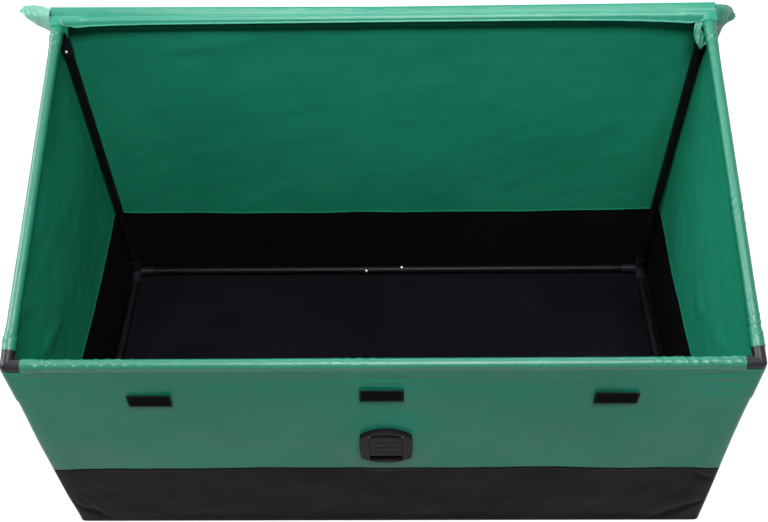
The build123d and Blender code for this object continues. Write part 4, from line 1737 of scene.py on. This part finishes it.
        fine = np.linspace(0.001, 0.26, 90)
        points, w, p = grid(
            np.concatenate([fine[:-1], np.linspace(0.26, length - 0.003, 80)]),
            np.linspace(0, self.skirt, 40), point,
        )
        cloth = Cloth(f"lid_{side.word}_skirt_cloth", points, w, p, plan.thickness,
                      turned=side is Side.LEFT)
        crumple = smooth(w, 0.0, 0.02) * smooth(0.24 - p, 0.0, 0.2)
        strength, crumple_length = (0.0011 if side is Side.LEFT else 0.0019), 0.045
        press = strength * crumple * ripples(w, p, crumple_length, 60 + side.value)
        for crease in EAR_CREASES[side]:
            press = press + crease.press(w, p)
        cloth.push(press)
        declare(cloth.build(palette["green_lid"], palette["green_back"]), (length, self.skirt), Held.HUNG,
                ["lid_panel_cloth"], "lid", f"lid_{side.word}_skirt")
        for at in (self.stitch_inset, self.skirt - self.hem_inset):
            stitches.add("lid", Thread.GREEN, cloth.run(1, at, 0.004))
        self.build_gusset(side, cloth.points[0], palette)

    def build_gusset(self, side: Side, edge: Array, palette: Palette) -> None:
        """Make the gusset that joins a side skirt's end to the strip.

        Args:
            side: Left or right.
            edge: The skirt's short edge at the hinge.
            palette: The built materials.
        """
        plan = self.plan
        shape = GUSSETS[side]
        start, tip = edge[0], edge[-1]
        bend, finish, tip_finish = (
            np.array([side.value * x, y, z]) for x, y, z in (shape.bend, shape.foot, shape.tip)
        )
        share = np.linspace(0, 1, len(edge))[:, None]
        t = np.linspace(0, 1, 40)[None, :]
        sewn_way = bow(t[..., None], np.zeros(3), bend - start, finish - start)
        tip_way = t[..., None] * (tip_finish - tip)
        points = edge[:, None] + (1 - share[..., None]) * sewn_way + share[..., None] * tip_way
        points[..., 2] -= shape.sag * np.sin(math.pi * share) * t**2
        width = float(walked(points[0])[-1])
        across, along = np.broadcast_arrays(share * self.skirt, t * width)
        cloth = Cloth(f"lid_{side.word}_gusset_cloth", points, across, along, plan.thickness,
                      turned=side is Side.RIGHT)
        free = np.sin(math.pi * t) * smooth(share, 0.05, 0.3)
        cloth.push(0.0012 * free * ripples(across, along, 0.03, 97 + side.value))
        # Painted highlight: the left gusset's inner face gets the pale, glossy copy of the cloth, the right
        # one the plain back cloth.
        inner = palette["green_folded" if side is Side.LEFT else "green_back"]
        gusset = cloth.build(palette["green_lid"], inner)
        reach = 0.04
        to_hinge, to_tip = start - finish, tip_finish - finish
        a, c = np.linalg.solve(
            [[to_hinge[0], to_hinge[2]], [to_tip[0], to_tip[2]]],
            [reach - to_hinge[1], reach - to_tip[1]],
        )
        way = np.array([a, 1.0, c])
        way = way * reach / (way @ way)
        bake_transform(gusset)
        declare(gusset, (self.skirt, width), Held.GATHERED, [f"lid_{side.word}_skirt_cloth"], None,
                area=min(measured_area(cloth), self.skirt * width))

    def hem_hang(self, x: Array) -> Array:
        """How far the strip's front hem hangs off the rail, most near its ends."""
        half = self.half_width()
        return 0.0092 * np.exp(-(half + x) / 0.06) + 0.0128 * np.exp(-(half - x) / 0.11)

    def over_side_sleeves(self, points: Array) -> Array:
        """Lift the strip's ends where they lie over the side sleeves, and let them reach forward.

        Args:
            points: The strip's points.

        Returns:
            The moved points.
        """
        plan = self.plan
        reach = plan.arm_radius + plan.sleeve_thickness + self.strip_thickness / 2 + 0.0003
        moved = points.copy()
        rounds = 3
        for _ in range(rounds):
            aside = np.maximum(plan.half_width - np.abs(moved[..., 0]), 0)
            axis = plan.rear_z - (plan.half_depth - moved[..., 1]) * math.tan(plan.slope)
            bend = 0.8 * reach
            crown = np.sqrt(np.maximum(reach**2 - np.minimum(aside, bend) ** 2, 0))
            tent = axis + (crown - np.maximum(aside - bend, 0) * 1.5) / math.cos(plan.slope)
            lift = np.maximum(tent - moved[..., 2], 0) * smooth(plan.half_depth - moved[..., 1], 0.0, 0.003)
            moved[..., 2] += lift
            moved[..., 1] -= 0.5 * lift
        return self.under_shut_lid(moved)

    def under_shut_lid(self, points: Array) -> Array:
        """Press the strip down to where the shut lid's panel lies on it.

        Args:
            points: The strip's points.

        Returns:
            The moved points.
        """
        plan = self.plan
        out, up = points[..., 1] - plan.half_depth, points[..., 2] - plan.rear_z
        height = up * math.cos(plan.slope) - out * math.sin(plan.slope)
        along = out * math.cos(plan.slope) + up * math.sin(plan.slope)
        over = np.maximum(height - plan.lid_room + self.strip_thickness / 2, 0)
        over = over * (1 - smooth(along, 0.010, 0.014))
        moved = points.copy()
        moved[..., 1] += over * math.sin(plan.slope)
        moved[..., 2] -= over * math.cos(plan.slope)
        return moved

    def build_strip(self, palette: Palette, stitches: Stitches) -> None:
        """Make the strip that lies over the rear rail, from its hem in front to the hinge cord."""
        plan = self.plan
        half = self.half_width() - 0.0006
        x = np.linspace(-half, half, 420)
        gap = plan.half_width - np.abs(x)
        radius = plan.sleeve_radius(gap) + plan.sleeve_thickness / 2 + self.strip_thickness / 2 + 0.00003
        start_turn, end_turn = math.radians(self.hem_angle), math.radians(self.leave_angle)
        hang = self.hem_hang(x)
        way = math.atan2(math.cos(start_turn), -math.sin(start_turn))
        lip_turn = np.linspace(way, way - math.radians(self.lip_curl), 6)
        step = self.lip_step * (1 - 0.9 * smooth(np.abs(x), 0.60, 0.622))
        lip = np.cumsum(np.stack([np.cos(lip_turn), np.sin(lip_turn)], axis=1), axis=0)
        edge_out, edge_up = radius * math.cos(start_turn), radius * math.sin(start_turn)
        hang_out, hang_up = hang * math.cos(way), hang * math.sin(way)
        rows = [(edge_out + hang_out + step * a, edge_up + hang_up + step * b) for a, b in lip[::-1]]
        rows += [
            (edge_out + share * hang_out, edge_up + share * hang_up)
            for share in np.linspace(1, 0, 7)[:-1]
        ]
        rows += [
            (radius * math.cos(turn), radius * math.sin(turn))
            for turn in np.linspace(start_turn, end_turn, 18)
        ]
        last_out, last_up = rows[-1]
        finish_out = np.full_like(x, plan.hinge_y - plan.half_depth - 0.0016)
        finish_up = plan.hinge_z - plan.rear_z + self.cord_radius + 0.0004 - self.sag(x)
        bend_out, bend_up = (last_out + finish_out) / 2 - 0.0008, (last_up + finish_up) / 2 + 0.0008
        rows += [
            (bow(share, last_out, bend_out, finish_out), bow(share, last_up, bend_up, finish_up))
            for share in np.linspace(0, 1, 12)[1:]
        ]
        out, up = np.array(rows).swapaxes(0, 1)
        steps = walked(np.array(rows)[:, :, len(x) // 2])
        u, v = np.meshgrid(x, steps)
        taper = 0.998 + 0.002 * smooth(v, steps[-1] * 0.6, steps[-1])
        points = np.stack([u * taper, plan.half_depth + out, plan.rear_z + up], axis=2)
        points = self.over_side_sleeves(points)
        loose = smooth(half - np.abs(u), 0.0, 0.05) * smooth(steps[-1] - v, 0.0, 0.006)
        loose = loose * smooth(v, steps[-1] * 0.45, steps[-1] * 0.7)
        points[..., 2] -= 0.0009 * loose * (1 + ripples(u, v, 0.06, 81)) / 2
        wavy = (1 - smooth(v, 0.002, 0.012)) * (0.3 + smooth(hang[None, :], 0.001, 0.006))
        points[..., 1] -= 0.0008 * wavy * (1 + ripples(u, 0 * v, 0.035, 83))
        cloth = Cloth("lid_strip_cloth", points, u, v, self.strip_thickness)
        declare(cloth.build(palette["green_lid"], palette["green_back"]), (2 * half, float(steps[-1])),
                Held.STRETCHED, ["rear_sleeve_cloth"], node="lid_hinge_strip")
        stitches.add("frame", Thread.GREEN, cloth.run(0, 0.0075, 0.01))

    def build_fold(self, side: Side, palette: Palette) -> None:
        """Make half of the fold round the hem cord."""
        plan = self.plan
        half = self.half_width()
        radius = self.cord_radius + 0.0009
        turn = np.radians(np.linspace(125, -90, 26))
        ends = (half, 0.0) if side is Side.RIGHT else (0.0, -half)
        x = np.linspace(*ends, 120)
        u, v = np.meshgrid(x, radius * (turn[0] - turn))
        out, up = radius * np.cos(turn)[:, None], radius * np.sin(turn)[:, None]
        places = x, plan.hinge_y + out, plan.hinge_z + up - self.sag(x)
        points = np.stack(np.broadcast_arrays(*places), axis=2)
        cloth = Cloth(f"lid_fold_{side.word}_cloth", points, u, v, self.strip_thickness)
        fold = cloth.build(palette["green_lid"], palette["green_back"])
        end_sag = float(self.sag(np.array(side.value * half)))
        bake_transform(fold)
        declare(fold, (half, float(v[-1, 0])), Held.FOLDED, ["lid_strip_cloth"], None)


# The finish of each piece that the frame brings itself, by the first of these words in its name.
FITTINGS = {
    "connector": "connector", "button": "plated", "spring": "spring", "pins": "plated",
    "screws": "plated", "handle": "handle", "hook": "hooks", "loop": "loops", "rail": "tube",
    "upright": "tube", "joiner": "tube", "band": "black", "floor": "black",
}
# Edges that turn by more than this many degrees stay sharp.
SHARP_EDGE = 32.0


def dress(nodes: dict[str, bpy.types.Object], palette: Palette) -> None:
    """Give the frame's own pieces their finishes, and smooth their round faces.

    Args:
        nodes: The frame's pieces by their names.
        palette: The built materials.
    """
    for name, node in nodes.items():
        word = next((word for word in FITTINGS if word in name), None)
        material = palette[FITTINGS.get(word, "green")]
        if not node.data.materials:
            node.data.materials.append(material)
        for i in range(len(node.data.materials)):
            node.data.materials[i] = material
        for polygon in node.data.polygons:
            polygon.use_smooth = True
        with bpy.context.temp_override(object=node, selected_objects=[node], active_object=node,
                                       selected_editable_objects=[node]):
            bpy.ops.object.shade_smooth_by_angle(angle=math.radians(SHARP_EDGE))


@dataclass(frozen=True)
class Studio:
    """A plain pale floor, soft lamps and the camera at the photograph's viewpoint.

    Attributes:
        camera_at: The camera's place.
        pitch: How far it looks down, in degrees.
        yaw: How far it looks to the right.
        roll: How far it leans.
        focal: Focal length in pixels of a picture 768 wide.
        picture_width: That picture's width in pixels.
        sensor: Width of the camera's sensor, in millimetres.
        sky: How brightly the white surroundings light the box.
        paper_glow: How much the floor's paper is brightened to the eye.
        floor_half: Half the floor's width.
    """

    camera_at: tuple[float, float, float] = (0.0351, -1.2952, 1.9520)
    pitch: float = 49.43
    yaw: float = -1.50
    roll: float = -1.52
    focal: float = 989.7
    picture_width: float = 768.0
    sensor: float = 36.0
    sky: float = 0.2
    paper_glow: float = 0.86
    floor_half: float = 7.0

    def build(self) -> None:
        """Make the camera, the lamps, the world and the floor."""
        self.build_camera()
        self.build_lamps()
        self.build_world()
        self.build_floor()
        bpy.context.scene.view_settings.view_transform = "Standard"

    def build_camera(self) -> None:
        """Make the camera."""
        phi, yaw, roll = (math.radians(a) for a in (self.pitch, self.yaw, self.roll))
        forward = Vector((math.sin(yaw) * math.cos(phi), math.cos(yaw) * math.cos(phi), -math.sin(phi)))
        right = forward.cross(Vector((0, 0, 1))).normalized()
        up = right.cross(forward)
        across = math.cos(roll) * right + math.sin(roll) * up
        upward = -math.sin(roll) * right + math.cos(roll) * up
        turned = Matrix((across, upward, -forward)).transposed().to_4x4()
        data = bpy.data.cameras.new("camera")
        data.sensor_width = self.sensor
        data.lens = self.focal / self.picture_width * self.sensor
        camera = place("camera", data)
        camera.matrix_world = Matrix.Translation(self.camera_at) @ turned
        bpy.context.scene.camera = camera

    def lamp(self, name: str, at: tuple[float, float, float], target: tuple[float, float, float],
             size: tuple[float, float], power: float) -> None:
        """Make one soft rectangular lamp that faces a target."""
        data = bpy.data.lights.new(name, "AREA")
        data.shape = "RECTANGLE"
        data.size, data.size_y = size
        data.energy = power
        lamp = place(name, data)
        way = Vector(target) - Vector(at)
        lamp.matrix_world = Matrix.Translation(at) @ way.to_track_quat("-Z", "Y").to_matrix().to_4x4()

    def build_lamps(self) -> None:
        """Make the lamps: a key at the upper left, two overhead and one behind."""
        self.lamp("key_lamp", (-4.2, 0.5, 3.2), (0.3, 0.0, 0.4), (2.8, 2.8), 275.0)
        self.lamp("top_lamp", (0.25, -1.1, 3.2), (0.25, 0.2, 0.4), (1.4, 0.6), 118.0)
        self.lamp("crown_lamp", (0.0, 0.1, 3.4), (0.0, 0.1, 0.4), (2.8, 0.5), 36.0)
        self.lamp("rear_lamp", (-0.1, 2.9, 2.5), (-0.1, 0.3, 0.7), (4.8, 0.35), 80.0)

    def build_world(self) -> None:
        """Make the world: white to the eye and in reflections, softer as light."""
        world = bpy.data.worlds.new("studio")
        world.use_nodes = True
        tree = world.node_tree
        tree.nodes.clear()
        shown = {"Value": rays_to_the_eye(tree), "To Min": self.sky, "To Max": 1.0}
        strength = add_node(tree, "ShaderNodeMapRange", shown).outputs[0]
        white = {"Color": (1, 1, 1, 1), "Strength": strength}
        background = add_node(tree, "ShaderNodeBackground", white)
        add_node(tree, "ShaderNodeOutputWorld", {"Surface": background.outputs[0]})
        bpy.context.scene.world = world

    def build_floor(self) -> None:
        """Make the floor: white paper that keeps the box's shadow."""
        made = Surface("white_background_paper")
        plain = made.shader.outputs[0]
        glow = made.add("ShaderNodeEmission", {"Strength": self.paper_glow})
        lit = made.add("ShaderNodeAddShader", {0: plain, 1: glow.outputs[0]})
        mixed = {0: rays_to_the_eye(made.tree), 1: plain, 2: lit.outputs[0]}
        shown = made.add("ShaderNodeMixShader", mixed)
        feed(made.tree, made.output, {"Surface": shown.outputs[0]})
        material = made.finish({
            "Base Color": linear("747474"),
            "Roughness": 0.9,
            "Normal": made.bump(made.noise(60.0), 0.0002, 0.1),
        })
        half, level = self.floor_half, -0.0005
        corners = [(x * half, y * half, level) for x, y in ((-1, -1), (1, -1), (1, 1), (-1, 1))]
        mesh = bpy.data.meshes.new("floor_paper")
        mesh.from_pydata(corners, [], [(0, 1, 2, 3)])
        mesh.materials.append(material)
        place("floor_paper", mesh)


def main() -> None:
    """Build the whole scene in order."""
    logging.basicConfig(level=logging.INFO, format="%(message)s")
    plan = Plan.of_frame(frame)
    Studio().build()
    palette = {word: finish.build() for word, finish in FINISHES.items()}
    dress(frame["nodes"], palette)
    stitches = Stitches()
    for word, busy in (
        ("front", (0.02, 0.06, 0.12, 0.46, 0.92, 0.97)),
        ("rear", (0.03, 0.97)),
        ("left", (0.03, 0.96)),
        ("right", (0.03, 0.08, 0.4, 0.95)),
    ):
        crinkle = 0.0002 if word == "rear" else 0.001
        RailSleeve(plan, word, crinkle, busy, seed=5 + len(word)).build(palette)
    CornerCap(plan, Side.LEFT, flap=0.026, pucker=0.0008).build(palette)
    CornerCap(plan, Side.RIGHT, flap=0.03, pucker=0.0012, fullness=0.004).build(palette)
    CornerTab().build(palette)
    for word, hollow, seed in (
        ("front", 0.003, 3), ("rear", 0.004, 4), ("left", 0.006, 6), ("right", 0.006, 8),
    ):
        wall = WallCloth(plan, word, WALL_CREASES[word], BAND_CREASES[word], hollow, seed=seed)
        wall.build(palette, stitches)
    FloorCloth(plan).build(palette)
    Lid(plan).build(palette, stitches)
    low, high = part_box("hook_patches")
    for word, x_at, rise in TAPES:
        def on_wall(u: Array, v: Array, x_at: float = x_at, rise: float = rise) -> list[Array]:
            """Where the hook tape lies on the front wall."""
            return [u + x_at, np.full_like(u, high.y - 0.00045), v + (low.z + high.z) / 2 + rise]
        FasteningTape(f"hook_tape_{word}", Pile.HOOKS, on_wall).build(
            "frame", "hook_patches", "hook_tape", "front_cloth", palette, stitches)
    stitches.build(palette)


if __name__ == "__main__":
    main()
